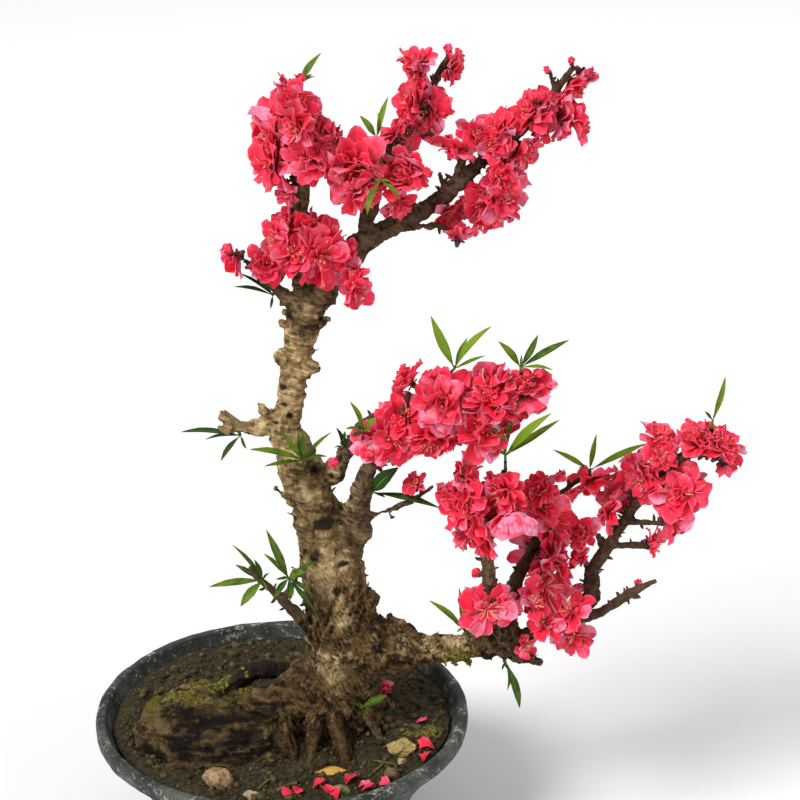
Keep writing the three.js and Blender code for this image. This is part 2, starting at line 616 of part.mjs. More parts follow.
// The room that finished pieces take up, which each later piece is cut clear of.
let taken = makeWood(GAP);

function add(name, shape, room, finish) {
  show(name, mainBody(shape.subtract(taken)), finish);
  taken = taken.add(room);
}

show("pot", makePot(), GLAZE);
show("drainage_screen", makeScreen(), SCREEN_PLASTIC);
show("bonsai_tree", mainBody(makeWood(0)), BARK);

for (const [name, points] of Object.entries(SHOOTS)) {
  add("leaves_" + name, shoot(points), shoot(points, GAP), LEAF_GREEN);
}

for (const [name, places] of Object.entries(SPRAYS)) {
  const spray = (grow) => join(places.map((place) => flower(flowerSeat(place), place[3], grow)));
  add("blossoms_" + name, spray(0), spray(GAP), PETAL);
}

function addMass(name, form, shaping, finish) {
  add(name, mass(form, shaping), mass(form, { ...shaping, grow: 1.5 * GAP }), finish);
}

for (const [name, stone] of Object.entries(STONES)) {
  addMass(name, stone, { waves: 0.12, sides: 8 }, STONE_TAN);
}
for (const [name, moss] of Object.entries(MOSSES)) {
  addMass(name, moss, { waves: 0.1, sides: 10 }, MOSS_GREEN);
}
for (const [name, middle] of Object.entries(FALLEN_PETALS)) {
  addMass(name, { middle, half: [8, 6, 1.2] }, { sides: 6 }, PETAL);
}

const fallenLeaf = (grow) => leaf(vector(FALLEN_LEAF.from), vector(FALLEN_LEAF.to), FALLEN_LEAF.width, grow);
add("fallen_leaf", fallenLeaf(0), fallenLeaf(GAP), DRY_LEAF);

const fallenSeat = { seat: vector(FALLEN_BLOSSOM.foot), middle: vector(FALLEN_BLOSSOM.middle) };
fallenSeat.axis = fallenSeat.middle.clone().sub(fallenSeat.seat).normalize();
const fallenFlower = (grow) => flower(fallenSeat, FALLEN_BLOSSOM.width, grow);
add("fallen_blossom", fallenFlower(0), fallenFlower(GAP), PETAL);

show("soil", mainBody(makeSoil().subtract(taken)), EARTH);

export default root;
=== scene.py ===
import math
import random

import bmesh
import bpy
import numpy as np
from bpy.props import FloatProperty, FloatVectorProperty, IntProperty, PointerProperty
from mathutils import Matrix, Vector
from mathutils.bvhtree import BVHTree
from mathutils.kdtree import KDTree


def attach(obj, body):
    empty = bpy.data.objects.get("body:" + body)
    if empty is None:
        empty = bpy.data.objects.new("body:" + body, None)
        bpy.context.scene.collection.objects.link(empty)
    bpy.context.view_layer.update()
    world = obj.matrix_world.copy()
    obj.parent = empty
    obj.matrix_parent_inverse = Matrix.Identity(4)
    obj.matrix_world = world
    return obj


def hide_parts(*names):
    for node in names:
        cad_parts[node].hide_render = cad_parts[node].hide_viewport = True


bl_info = {
    "name": "Flowering Peach Bonsai",
    "version": (1, 0, 0),
    "blender": (4, 5, 0),
    "location": "3D View > Sidebar > Bonsai",
    "description": "Makes a flowering peach bonsai in its pot over the packed frame",
    "category": "Object",
}

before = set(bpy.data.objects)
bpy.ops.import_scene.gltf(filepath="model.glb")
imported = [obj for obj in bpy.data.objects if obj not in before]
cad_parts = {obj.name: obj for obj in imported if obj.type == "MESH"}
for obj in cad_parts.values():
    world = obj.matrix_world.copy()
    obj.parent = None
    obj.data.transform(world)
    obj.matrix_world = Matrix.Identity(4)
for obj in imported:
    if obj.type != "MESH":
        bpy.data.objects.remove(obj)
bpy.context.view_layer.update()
MM = 0.001

# Blossoms of each spray: the open flower's middle (x, y, z) and its width, in millimetres.
SPRAYS = {
    "crown_left": [
        (4, -18, 576, 34), (-5, -20, 556, 42), (13, -38, 572, 38), (23, -30, 586, 32),
        (37, -18, 577, 34), (13, -14, 592, 24), (13, 14, 566, 42), (31, 12, 561, 37),
        (-7, -26, 541, 41), (45, -22, 565, 45), (34, -36, 554, 36), (4, 8, 546, 38),
        (27, 6, 543, 35), (11, -26, 521, 19),
    ],
    "fork_left": [
        (1, -26, 486, 33), (1, -28, 476, 32), (17, -36, 491, 34), (8, -22, 504, 27),
        (8, 8, 472, 35),
    ],
    "fork_left_single": [(-30, -18, 472, 28)],
    "fork_right": [
        (39, -22, 495, 36), (44, -34, 481, 48), (51, -18, 483, 28), (54, -26, 466, 24),
        (64, -30, 455, 28), (33, 14, 475, 36),
    ],
    "crown_centre": [
        (61, -42, 539, 51), (72, -32, 520, 39), (62, -22, 554, 33), (51, -14, 563, 27),
        (89, -26, 538, 37), (87, -14, 541, 41), (91, -20, 511, 29), (70, 22, 526, 37),
        (90, 20, 537, 38),
    ],
    "crown_top": [
        (102, 17, 611, 23), (95, 14, 598, 32), (90, 12, 580, 36), (133, 28, 598, 27),
        (118, 26, 570, 35), (106, 10, 574, 34), (98, 6, 561, 28), (82, 2, 565, 25),
        (109, 42, 574, 35),
    ],
    "limb_above": [
        (131, 12, 555, 34), (148, 12, 559, 32), (154, 16, 564, 31), (178, 20, 577, 37),
        (185, 24, 572, 30), (156, 8, 552, 29), (151, 44, 546, 29), (170, 48, 525, 33),
        (193, 48, 559, 33),
    ],
    "limb_below": [
        (129, 10, 496, 29), (148, 4, 505, 37), (167, 8, 515, 39), (173, 14, 513, 43),
        (180, 20, 533, 33), (161, 2, 524, 29), (158, 14, 498, 36), (183, 20, 541, 27),
        (132, 2, 493, 27),
    ],
    "limb_tip": [
        (217, 30, 579, 36), (220, 32, 588, 23), (218, 28, 569, 37), (198, 22, 569, 29),
        (209, 28, 556, 29), (191, 22, 559, 25),
    ],
    "mid_cup": [(89, -34, 396, 30)],
    "mid_left": [(89, -50, 353, 40), (73, -44, 347, 34), (88, -42, 371, 41), (86, -12, 342, 39)],
    "mid_centre": [
        (109, -48, 381, 40), (114, -52, 344, 41), (122, -58, 386, 50), (148, -58, 367, 45),
        (130, -44, 348, 30), (111, -12, 352, 41), (136, -14, 367, 38),
    ],
    "mid_right": [
        (147, -44, 400, 42), (159, -54, 391, 43), (171, -40, 398, 30), (185, -36, 375, 37),
        (167, -48, 370, 42), (181, -38, 377, 36), (152, -48, 352, 33), (167, -14, 359, 39),
    ],
    "mid_single": [(98, -32, 313, 21)],
    "low_ball": [
        (142, -52, 326, 33), (127, -58, 307, 43), (123, -48, 298, 36), (135, -54, 282, 50),
        (133, -50, 280, 27), (155, -56, 313, 38), (150, -50, 294, 31), (149, -20, 293, 36),
    ],
    "low_centre": [
        (171, -66, 285, 46), (180, -36, 308, 39), (189, -14, 301, 29), (191, -20, 291, 37),
        (212, -8, 269, 48), (222, -2, 257, 29), (216, -10, 246, 43), (218, -4, 243, 26),
        (180, 12, 268, 36), (197, 26, 239, 40),
    ],
    "low_star": [
        (206, -24, 234, 39), (205, -32, 228, 39), (208, -36, 218, 36), (191, -40, 225, 29),
        (197, -42, 213, 33), (217, -42, 190, 34), (203, 2, 210, 36),
    ],
    "low_front": [
        (150, -50, 221, 35), (155, -58, 219, 39), (168, -46, 216, 29), (164, -10, 201, 35),
    ],
    "low_under": [(186, -40, 183, 22)],
    "right_left": [
        (236, 8, 284, 38), (235, 4, 276, 33), (258, 0, 303, 38), (263, -8, 298, 38),
        (264, 26, 291, 41),
    ],
    "right_mid": [(280, 0, 341, 33), (279, -14, 327, 24), (303, -6, 341, 35), (292, 22, 295, 32)],
    "right_low": [
        (291, -22, 298, 45), (298, -16, 288, 33), (306, -6, 288, 35), (297, 0, 269, 34),
        (306, 0, 301, 28),
    ],
    "right_tip": [
        (326, -8, 339, 38), (328, -4, 328, 30), (319, 0, 343, 36), (330, -6, 312, 21),
        (322, 18, 324, 30),
    ],
    "right_single": [(284, 0, 250, 28)],
}
# Leaf shoots: first the point (x, y, z) where the leaves part, then each leaf's tip and width.
SHOOTS = {
    "crown_left": [(23, -12, 597), (37, -6, 617, 6), (19, -20, 606, 4), (30, 4, 610, 4)],
    "crown_centre_top": [
        (74, -16, 561), (63, -22, 578, 7), (75, -14, 578, 5), (82, -10, 588, 6), (68, -26, 553, 6),
    ],
    "crown_centre_low": [(77, -36, 537), (68, -46, 516, 8), (90, -44, 526, 5)],
    "fork_left": [(1, -12, 447), (-18, -20, 475, 8), (-22, -14, 464, 5), (-25, -20, 456, 6)],
    "left_stub": [(-25, -9, 339), (-67, -14, 344, 8), (-39, -16, 322, 6), (-51, -2, 333, 5)],
    "trunk_spur": [
        (21, -26, 327), (-17, -34, 339, 8), (-7, -32, 325, 5), (6, -26, 350, 6), (17, -22, 347, 6),
        (21, -30, 354, 5), (41, -24, 348, 5), (38, -28, 331, 5),
    ],
    "mid_small": [(49, -26, 338), (45, -28, 353, 6), (51, -22, 348, 5)],
    "lower_left_outer": [
        (-10, -34, 235), (-48, -46, 236, 8), (-31, -36, 265, 5), (-30, -28, 245, 6),
        (-26, -42, 218, 10), (-15, -40, 255, 6),
    ],
    "lower_left_inner": [
        (9, -34, 237), (-6, -40, 279, 9), (-9, -30, 255, 6), (31, -36, 252, 7), (22, -42, 246, 11),
        (10, -40, 222, 8), (29, -42, 213, 6), (-1, -44, 226, 7), (27, -44, 228, 5),
    ],
    "mid_left": [(64, -35, 353), (55, -40, 378, 7), (76, -41, 366, 8), (52, -46, 360, 6)],
    "mid_top": [
        (128, -38, 402), (111, -46, 444, 10), (153, -40, 434, 9), (137, -30, 422, 6),
        (149, -44, 414, 4),
    ],
    "mid_right": [
        (174, -36, 402), (158, -40, 423, 8), (186, -32, 425, 7), (207, -40, 424, 8),
        (196, -46, 404, 5),
    ],
    "mid_low": [
        (164, -48, 340), (145, -56, 380, 10), (173, -48, 382, 6), (195, -54, 375, 10),
        (202, -44, 366, 7), (149, -54, 352, 4),
    ],
    "right_shoot": [(229, 6, 305), (201, -2, 325, 6), (233, 6, 334, 6), (271, 12, 324, 7)],
    "right_tip_leaf": [(316, 0, 347), (323, -2, 382, 7)],
    "low_limb_sprout": [
        (136, -34, 196), (111, -42, 223, 7), (133, -36, 231, 5), (140, -34, 221, 5),
        (128, -30, 202, 4),
    ],
    "low_limb_hanging": [(168, -34, 168), (179, -40, 132, 9), (170, -34, 144, 6)],
    "trunk_base_leaf": [(61, -34, 129), (80, -30, 137, 8)],
    "mid_shade": [(70, -22, 300), (89, -34, 325, 16), (119, -34, 293, 9), (78, -14, 308, 12)],
}

# Red buds: (x, y, z, length) in millimetres.
BUDS = [
    (174, 12, 588, 11), (134, 34, 531, 9), (127, 4, 545, 10), (116, -33, 540, 9), (190, 18, 600, 7),
    (123, 24, 613, 9), (112, -41, 400, 9), (213, -20, 312, 13), (268, -4, 218, 9),
    (208, 27, 604, 7), (24, -18, 603, 9), (-4, -32, 532, 9), (1, -34, 538, 8), (224, 2, 305, 12),
    (310, 10, 322, 11), (57, -50, 528, 9), (43, -30, 327, 11), (-31, -24, 486, 10),
    (278, -6, 250, 9), (196, -30, 262, 9), (68, -44, 340, 9), (141, -58, 352, 9),
    (187, -44, 402, 10), (146, -40, 244, 10), (150, 48, 556, 9),
]

# Shoots in shade, whose leaves' green is darkened as painted shade: how much of the fresh green
# each keeps.
SHADED_SHOOTS = {
    "mid_shade": 0.15, "mid_small": 0.15, "fork_left": 0.2, "left_stub": 0.2,
    "lower_left_outer": 0.6, "trunk_spur": 0.65, "lower_left_inner": 0.55, "low_limb_hanging": 0.3,
    "trunk_base_leaf": 0.4,
}

# Petals fallen on the soil: (x, y) in millimetres and turn in degrees, then the nodes replaced.
FALLEN = {
    "petal_front": ([(64, -97, 35)], ["fallen_petal_front"]),
    "petal_right": ([(110, -50, 150)], ["fallen_petal_right"]),
    "petals_on_soil": ([
        (106, -11, 20), (108, -63, 80), (80, -97, 140), (67, -104, 10), (54, -95, 60),
        (44, -113, 100), (31, -102, 45), (10, -115, 200), (36, -107, 300), (17, -110, 250),
    ], []),
}
# The blossom on the soil: its middle and its foot, then its width; and the leaf's foot and tip.
FALLEN_BLOSSOM = (74, 26, 113), (74, 31, 102)
FALLEN_WIDTH = 26
FALLEN_LEAF = (28, -86, 105.2), (51, -84, 106)

# Places on the bark: (x, y, z), half width, half height and rise in millimetres, then how dark,
# pale and dirty. Darkness is dark knots and painted shade in pits and the knot hole; paleness is
# pale bark and painted highlights; dirt is real dirt and painted shade, and below 0 painted
# highlights.
BARK_MARKS = [
    ((39, -6, 442), 8, 9, 0.4, 0, 0, 0.75), ((26, -10, 452), 6, 6, 0, 0, 0, 0.9),
    ((23, -13, 439), 6, 4, 0.5, 0, 0.25, -0.3), ((12, -7, 431), 4, 4, 0.8, 0.5, 0, 0.6),
    ((25, -12, 424), 9, 11, 0, 0, 0, 0.95), ((6, -9, 401), 4, 4, 3.2, 0.2, 0.1, 0),
    ((27, -8, 392), 6, 4, 3.6, 0, 0.35, -0.3), ((27, -7, 385), 6, 3, -0.8, 0.75, 0, 0.5),
    ((7, -12, 378), 4, 3, -1.2, 0.95, 0, 0.2), ((9, -13, 370), 4, 2, 0.9, 0, 0.25, -0.2),
    ((12, -13, 355), 3, 3, -0.9, 0.85, 0, 0.2), ((0, -12, 350), 3, 2, -0.9, 0.85, 0, 0.2),
    ((21, -8, 362), 2, 3, 1.6, 0, 0.1, 0), ((15, -15, 411), 7, 4, 0.4, 0, 0.1, 0),
    ((-9, -9, 358), 4, 4, 2.4, 0.25, 0.2, 0), ((7, -14, 338), 10, 9, 0.3, 0, 0.3, -0.2),
    ((-6, -10, 342), 7, 6, 0, 0, 0.25, -0.1), ((17, -18, 330), 6, 6, 0, 0, 0.2, -0.2),
    ((28, -10, 308), 9, 6, 0.4, 0, 0, 0.8), ((43, -19, 310), 6, 6, 2, 0.15, 0, 0.4),
    ((16, -13, 290), 4, 7, 0, 0, 0, 0.5), ((21, -14, 292), 8, 6, 0, 0, 0.25, -0.3),
    ((35, -17, 273), 9, 6, 3.4, 1, 0, 0.5), ((35, -19, 264), 6, 2, 1.4, 0, 0.2, -0.2),
    ((14, -4, 262), 6, 7, 3.4, 0, 0.1, 0.1), ((53, -18, 259), 4, 6, -1.4, 0.6, 0, 0.6),
    ((62, -16, 263), 7, 8, 4.4, 0, 0.2, -0.1), ((62, -10, 246), 5, 6, 2.2, 0, 0.1, 0.1),
    ((34, -20, 251), 3, 3, 0.5, 0, 1, -0.4), ((27, -17, 245), 5, 4, 2.6, 0.75, 0, 0.6),
    ((41, -21, 241), 13, 11, 0, 0, 0.3, -0.9), ((49, -19, 241), 4, 3, 1.4, 0.8, 0, 0.4),
    ((44, -25, 222), 4, 3, 1.2, 0.85, 0, 0.4), ((37, -23, 222), 9, 9, 0, 0, 0.15, -0.6),
    ((47, -28, 202), 6, 10, 0, 0, 0.3, -0.8), ((28, -21, 196), 8, 19, 0.6, 0.1, 0, 0.75),
    ((59, -23, 203), 5, 10, 0.8, 0.35, 0, 0.85), ((69, -16, 192), 8, 9, 1.4, 0, 0, 0.5),
    ((44, -30, 184), 16, 6, 0.8, 0.15, 0, 0.85), ((69, -15, 209), 5, 3, 3, 0.3, 0, 0.5),
    ((82, -4, 193), 4, 3, 3, 0.3, 0, 0.4), ((96, -9, 183), 5, 4, 3.6, 0.25, 0.1, 0.3),
    ((93, -26, 178), 6, 4, 2.2, 0, 0.4, -0.3), ((114, -29, 177), 10, 6, 0.8, 0, 0.3, -0.5),
    ((131, -28, 183), 10, 4, 0.6, 0, 0.3, -0.5), ((116, -18, 183), 5, 2, 2, 0.5, 0, 0.4),
    ((89, -29, 165), 6, 6, 0.5, 0.5, 0, 0.8), ((77, -28, 159), 12, 6, 0, 0.3, 0, 0.9),
    ((134, -33, 171), 11, 3, 0.8, 0.2, 0, 0.7), ((167, -38, 184), 23, 10, 1, 0.1, 0, 0.8),
    ((39, -32, 155), 9, 6, 0.5, 0, 0.2, -0.5), ((27, -23, 159), 9, 4, 0, 0, 0.2, -0.3),
    ((45, -34, 144), 7, 6, 0, 0, 0.05, -0.2), ((63, -31, 147), 12, 17, 0.3, 0.3, 0, 0.85),
    ((15, -32, 134), 19, 13, 0, 0, 0, 0.3), ((34, -37, 120), 16, 9, 0, 0, 0, 0.45),
    ((-23, -4, 345), 8, 12, -2.4, 0, 0, 0.1), ((-37, -7, 353), 5, 5, 0.8, 0.2, 0.1, 0),
]

# Dead spurs and knuckles on the bark: the foot, the tip and the radius at the foot, in millimetres.
SPURS = [
    ((20, -10, 389), (31, -12, 393), 4.6), ((8, -9, 399), (1, -9, 401), 5),
    ((-5, -9, 352), (-11, -10, 363), 4), ((9, -9, 417), (6, -10, 426), 1.8),
    ((31, -7, 423), (39, -8, 427), 1.5), ((34, -5, 431), (38, -6, 435), 1.1),
    ((28, -8, 401), (33, -9, 405), 1.2), ((6, -7, 403), (3, -9, 405), 1.5),
    ((8, -3, 283), (-2, -5, 295), 1.6), ((3, -4, 289), (0, -6, 296), 0.9),
    ((15, -10, 279), (8, -11, 287), 1.4), ((48, -15, 279), (46, -16, 289), 1),
    ((59, -11, 229), (64, -12, 235), 1.6), ((60, -16, 216), (66, -17, 224), 1.5),
    ((-9, -8, 359), (-12, -9, 363), 1.8), ((-4, -9, 356), (-2, -10, 361), 1.4),
    ((-33, -10, 348), (-38, -12, 358), 2.6), ((-35, -11, 343), (-40, -12, 347), 2),
    ((27, -13, 324), (31, -18, 333), 3.4), ((33, -4, 311), (31, -6, 320), 2.4),
    ((36, -7, 317), (42, -9, 322), 1.8), ((54, -21, 290), (58, -23, 296), 1.8),
    ((60, -25, 293), (63, -27, 300), 1.6), ((84, -24, 280), (87, -25, 277), 1.1),
    ((86, -8, 193), (81, -9, 197), 1.6), ((93, -10, 185), (95, -12, 190), 2.2),
    ((99, -19, 182), (103, -20, 184), 1.6), ((117, -22, 182), (118, -23, 187), 1.8),
    ((136, -25, 185), (140, -27, 189), 1.5), ((123, -31, 168), (125, -33, 164), 1.4),
    ((129, -30, 167), (132, -31, 163), 1.2), ((139, -30, 168), (142, -32, 165), 1.6),
    ((154, -33, 167), (158, -35, 165), 1.4), ((166, -34, 168), (169, -36, 164), 1.4),
    ((186, -38, 171), (192, -39, 176), 2), ((17, -31, 238), (11, -32, 244), 1.2),
    ((18, -8, 243), (16, -10, 248), 1.5), ((23, -16, 210), (16, -17, 206), 1.4),
]

# Old roots in front of the trunk: points and the radius at each, in millimetres.
ROOTS = [
    [((1, -32, 127), 2.8), ((7, -53, 115), 2.2), ((17, -78, 99), 1.7)],
    [((29, -36, 124), 4.4), ((26, -57, 112), 3.5), ((21, -79, 97), 2.9)],
    [((41, -37, 125), 5.0), ((47, -58, 113), 4.0), ((54, -79, 97), 3.3)],
    [((64, -27, 122), 3.8), ((73, -38, 109), 2.9), ((79, -47, 97), 2.2)],
]

# Sprays whose blossoms are wide open, with fewer full petals.
LOOSE_SPRAYS = (
    "low_star", "low_front", "low_under", "fork_left_single", "right_single", "mid_single",
)

# Twigs on the soil: both ends (x, y) and radius, in millimetres.
TWIGS = [
    ((78, -75), (67, -88), 1.0), ((2, -113), (19, -97), 1.3), ((70, -70), (92, -79), 0.8),
    ((-12, -104), (-3, -92), 0.9),
]

# Stones: the middle, half sizes in millimetres and colour.
STONES = {
    "tan": ((91, -51, 105), (12, 9, 7), (0.42, 0.30, 0.10)),
    "tan_small": ((92, -69, 103), (6, 5, 4), (0.30, 0.22, 0.10)),
    "brown": ((83, -85, 103), (8, 7, 6), (0.17, 0.12, 0.055)),
    "olive": ((47, -107, 102), (9, 6, 5), (0.18, 0.17, 0.06)),
    "round": ((-42, -93, 103), (12, 9, 10), (0.36, 0.22, 0.11)),
    "pale": ((-15, -112, 102), (8, 5, 4), (0.42, 0.30, 0.19)),
}
STONE_STAIN = (0.035, 0.027, 0.016)

# Moss beds: what carries one, how many clumps are tried, its middle and half sizes in millimetres,
# and how much of it is covered, against noise.
MOSS_BEDS = {
    "on_rootstock": ("bark", 1500, (-58, 0), (37, 18), 0.12),
    "on_soil": ("soil_bed", 420, (106, -26), (15, 12), 0.45),
}
# How far up a surface has to face to carry moss, and the highest moss in millimetres.
STEEPEST_MOSS, HIGHEST_MOSS = 0.35, 140
# Moss on the low limb: how many clumps are tried, their middle and their spread in millimetres.
LIMB_MOSS = 420, (136, -31, 171), (6.5, 3, 3.2)

# The long scar over the trunk's flare, and where the trunk stands.
SCAR = [(17, -24, 176), (25, -26, 171), (34, -27, 169), (44, -27, 170), (53, -26, 175)]
TRUNK_FOOT = (41, -5)

# The camera's sensor in millimetres, and the nearest and furthest that it sees, in metres.
SENSOR_WIDTH, SEEN_FROM, SEEN_TO = 36, 0.05, 100
# Half the floor, where the lights aim and how wide a side lamp is, in metres.
FLOOR_HALF, LIGHTS_AIM, LAMP_WIDTH = 40, (0.09, 0, 0.34), 2.0


class BlossomSettings(bpy.types.PropertyGroup):
    """Petals, stamens and buds."""

    petal_thickness: FloatProperty(
        name="Petal thickness", description="How thick a petal is", default=0.3 * MM, unit="LENGTH"
    )
    petal_size: FloatProperty(
        name="Petal size", description="Petal length against half the flower's width", default=1.0
    )
    stamens: IntProperty(name="Stamens", description="Stamens in each flower", default=15)
    bright: FloatVectorProperty(
        name="Bright pink", description="The petals' main colour",
        default=(0.94, 0.025, 0.073), subtype="COLOR",
    )
    deep: FloatVectorProperty(
        name="Deep crimson", description="The petals' darkest colour",
        default=(0.42, 0.003, 0.009), subtype="COLOR",
    )
    # Pale pink: some petals' own paler tint, and a painted highlight on the rims and tips.
    pale: FloatVectorProperty(
        name="Pale pink", description="The petals' worn edges",
        default=(0.97, 0.38, 0.58), subtype="COLOR",
    )


class BarkSettings(bpy.types.PropertyGroup):
    """The wood's surface."""

    grain_size: FloatProperty(
        name="Grain size", description="The finest shape in the bark",
        default=1.15 * MM, unit="LENGTH",
    )
    relief: FloatProperty(name="Relief", description="How rough the bark is", default=1.0)
    tan: FloatVectorProperty(
        name="Old bark", description="The trunk's pale tan",
        default=(0.455, 0.312, 0.146), subtype="COLOR",
    )
    dark: FloatVectorProperty(
        name="Young bark", description="The twigs' dark brown",
        default=(0.060, 0.037, 0.020), subtype="COLOR",
    )


class LeafSettings(bpy.types.PropertyGroup):
    """Young leaves."""

    fold: FloatProperty(
        name="Fold", description="How far a blade folds along its middle rib", default=0.6
    )
    fresh: FloatVectorProperty(
        name="Fresh green", description="A young leaf's green",
        default=(0.20, 0.32, 0.013), subtype="COLOR",
    )
    # Deep green: an older leaf's green, also used as painted shade on shoots in shade.
    deep: FloatVectorProperty(
        name="Deep green", description="An older leaf's green",
        default=(0.012, 0.055, 0.003), subtype="COLOR",
    )


class GroundSettings(bpy.types.PropertyGroup):
    """Pot, soil, moss and stones."""

    crumbs: IntProperty(name="Crumbs", description="Loose crumbs of soil", default=1500)
    glaze: FloatVectorProperty(
        name="Glaze", description="The pot's dark slate green",
        default=(0.031, 0.037, 0.033), subtype="COLOR",
    )
    soil: FloatVectorProperty(
        name="Soil", description="The soil's brown",
        default=(0.036, 0.027, 0.011), subtype="COLOR",
    )
    moss: FloatVectorProperty(
        name="Moss", description="The moss's olive",
        default=(0.135, 0.112, 0.020), subtype="COLOR",
    )


class StageSettings(bpy.types.PropertyGroup):
    """Camera, floor and lights."""

    place: FloatVectorProperty(
        name="Camera place", description="Where the camera stands",
        default=(0.090, -1.3908, 0.9249), subtype="TRANSLATION",
    )
    pitch: FloatProperty(
        name="Camera pitch", description="How far down the camera looks",
        default=math.radians(22), subtype="ANGLE",
    )
    lens: FloatProperty(
        name="Lens", description="The camera's focal length in millimetres", default=93.75
    )
    floor: FloatVectorProperty(
        name="Floor", description="The floor's colour", default=(0.85, 0.85, 0.85), subtype="COLOR"
    )
    sun: FloatProperty(name="Sun", description="The main light's strength", default=3.0)
    softness: FloatProperty(
        name="Softness", description="How wide the main light is",
        default=math.radians(24), subtype="ANGLE",
    )
    lamps: FloatProperty(
        name="Lamps", description="The power of each side lamp", default=16.0, unit="POWER"
    )
    sky: FloatProperty(
        name="Sky", description="How bright the light from all round is", default=0.42
    )


# Noise


def lattice(cells, seed):
    """A fixed random number from -1 to 1 for each whole-number place."""
    x, y, z = (cells[:, k] & 0xFFFF for k in range(3))
    mixed = (x * 73856093 ^ y * 19349663 ^ z * 83492791 ^ (seed + 1) * 40503) & 0xFFFFFFFF
    mixed = ((mixed ^ (mixed >> 15)) * 0x2C1B3C6D) & 0xFFFFFFFF
    mixed = ((mixed ^ (mixed >> 12)) * 0x297A2D39) & 0xFFFFFFFF
    return ((mixed ^ (mixed >> 15)) & 0xFFFFF) / 0x7FFFF - 1


def noise(places, size, seed=0):
    """Smooth noise, mostly from -1 to 1, with features of about a size in metres."""
    scaled = np.asarray(places) / size + 31.7 * (seed + 1)
    cell = np.floor(scaled).astype(np.int64)
    part = scaled - cell
    part = part * part * (3 - 2 * part)
    total = np.zeros(len(scaled))
    for corner in np.ndindex(2, 2, 2):
        share = np.where(corner, part, 1 - part).prod(axis=1)
        total += share * lattice(cell + np.array(corner), seed)
    return 1.8 * total


def combed(places, along, size, reach, seed=0):
    """Noise drawn out along a direction at each place, as grain or rings are."""
    steps = np.linspace(-reach, reach, 7)
    return sum(noise(places + step * along, size, seed) for step in steps) / math.sqrt(len(steps))


def ramp(values, low, high):
    """From 0 at low to 1 at high, smoothly."""
    part = np.clip((np.asarray(values) - low) / (high - low), 0, 1)
    return part * part * (3 - 2 * part)


def fall(values, low, high):
    """From 1 at low to 0 at high, smoothly."""
    return 1 - ramp(values, low, high)


def oval(first, second, middle, half):
    """1 in the middle of an oval over two coordinates, and less away from it."""
    return np.exp(-(((first - middle[0]) / half[0]) ** 2 + ((second - middle[1]) / half[1]) ** 2))


# Meshes and pieces


def rows_of(items, key, width=3, kind=float):
    """What each vertex, edge or face of a mesh holds under a key, a row for each."""
    flat = np.empty(len(items) * width, dtype=kind)
    items.foreach_get(key, flat)
    return flat.reshape(-1, width)


def coordinates(mesh):
    """A mesh's vertices as an array."""
    return rows_of(mesh.vertices, "co")


def set_coordinates(mesh, places):
    """Moves a mesh's vertices."""
    mesh.vertices.foreach_set("co", np.asarray(places, dtype=float).ravel())
    mesh.update()


def normals_of(mesh):
    """A mesh's vertex normals as an array."""
    return rows_of(mesh.vertex_normals, "vector")


def as_mesh(shape, name):
    """Turns a bmesh into a mesh and frees it."""
    mesh = bpy.data.meshes.new(name)
    shape.to_mesh(mesh)
    shape.free()
    return mesh


def smooth(mesh):
    """Shades every face of a mesh smooth and gives the mesh back."""
    mesh.polygons.foreach_set("use_smooth", [True] * len(mesh.polygons))
    return mesh


def add_piece(name, mesh, materials, stands_for=()):
    """Shows a mesh as a piece that rides on the frame."""
    piece = bpy.data.objects.new(name, mesh)
    bpy.context.scene.collection.objects.link(piece)
    for material in materials:
        mesh.materials.append(material)
    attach(piece, "root")
    if stands_for:
        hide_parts(*stands_for)
    return piece


def set_colours(mesh, name, red=0.0, green=0.0, blue=0.0):
    """Keeps three numbers for each vertex, for a material to read."""
    attribute = mesh.color_attributes.new(name, "FLOAT_COLOR", "POINT")
    count = len(mesh.vertices)
    parts = [np.broadcast_to(part, count) for part in (red, green, blue, 0.0)]
    attribute.data.foreach_set("color", np.stack(parts, axis=1).astype(float).ravel())


def keep_numbers(mesh, name, values):
    """Keeps one number for each vertex."""
    attribute = mesh.attributes.new(name, "FLOAT", "POINT")
    attribute.data.foreach_set("value", np.broadcast_to(values, len(mesh.vertices)).astype(float))


def tinted(shape, name, tints):
    """Turns a bmesh into a mesh that keeps a tint for each vertex."""
    mesh = as_mesh(shape, name)
    keep_numbers(mesh, "tint", np.concatenate(tints))
    return mesh


def cad_copy(node):
    """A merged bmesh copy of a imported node."""
    shape = bmesh.new()
    shape.from_mesh(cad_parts[node].data)
    bmesh.ops.remove_doubles(shape, verts=shape.verts, dist=2e-6)
    return shape


def turned_to(axis, turn=0.0):
    """A rotation that brings +Z to an axis, after a turn about it."""
    return Vector(axis).to_track_quat("Z", "Y").to_matrix() @ Matrix.Rotation(turn, 3, "Z")


def add_copy(shape, form, places):
    """Adds a form's mesh to a bmesh with its vertices at other places."""
    set_coordinates(form, places)
    shape.from_mesh(form)


def add_form(shape, form, finish):
    """Adds a form's mesh to a bmesh, its faces with a material's number."""
    first = len(shape.faces)
    shape.from_mesh(form)
    shape.faces.ensure_lookup_table()
    for face in shape.faces[first:]:
        face.material_index = finish


def add_tube(shape, points, radii, sides=6):
    """Adds a closed round tube along points to a bmesh."""
    points = [Vector(p) for p in points]
    rings = []
    last = len(points) - 1
    for i, (point, radius) in enumerate(zip(points, radii)):
        along = points[min(i + 1, last)] - points[max(i - 1, 0)]
        place = Matrix.Translation(point) @ turned_to(along).to_4x4()
        ring = bmesh.ops.create_circle(
            shape, cap_ends=i in (0, last), segments=sides, radius=radius, matrix=place
        )
        rings.append(ring["verts"])
    for low, high in zip(rings, rings[1:]):
        edges = []
        for ring in (low, high):
            edges += {e for v in ring for e in v.link_edges if e.other_vert(v) in ring}
        bmesh.ops.bridge_loops(shape, edges=edges)


def stray(draw):
    """A random vector, each of its numbers from -1 to 1."""
    return Vector([draw.uniform(-1, 1) for _ in range(3)])


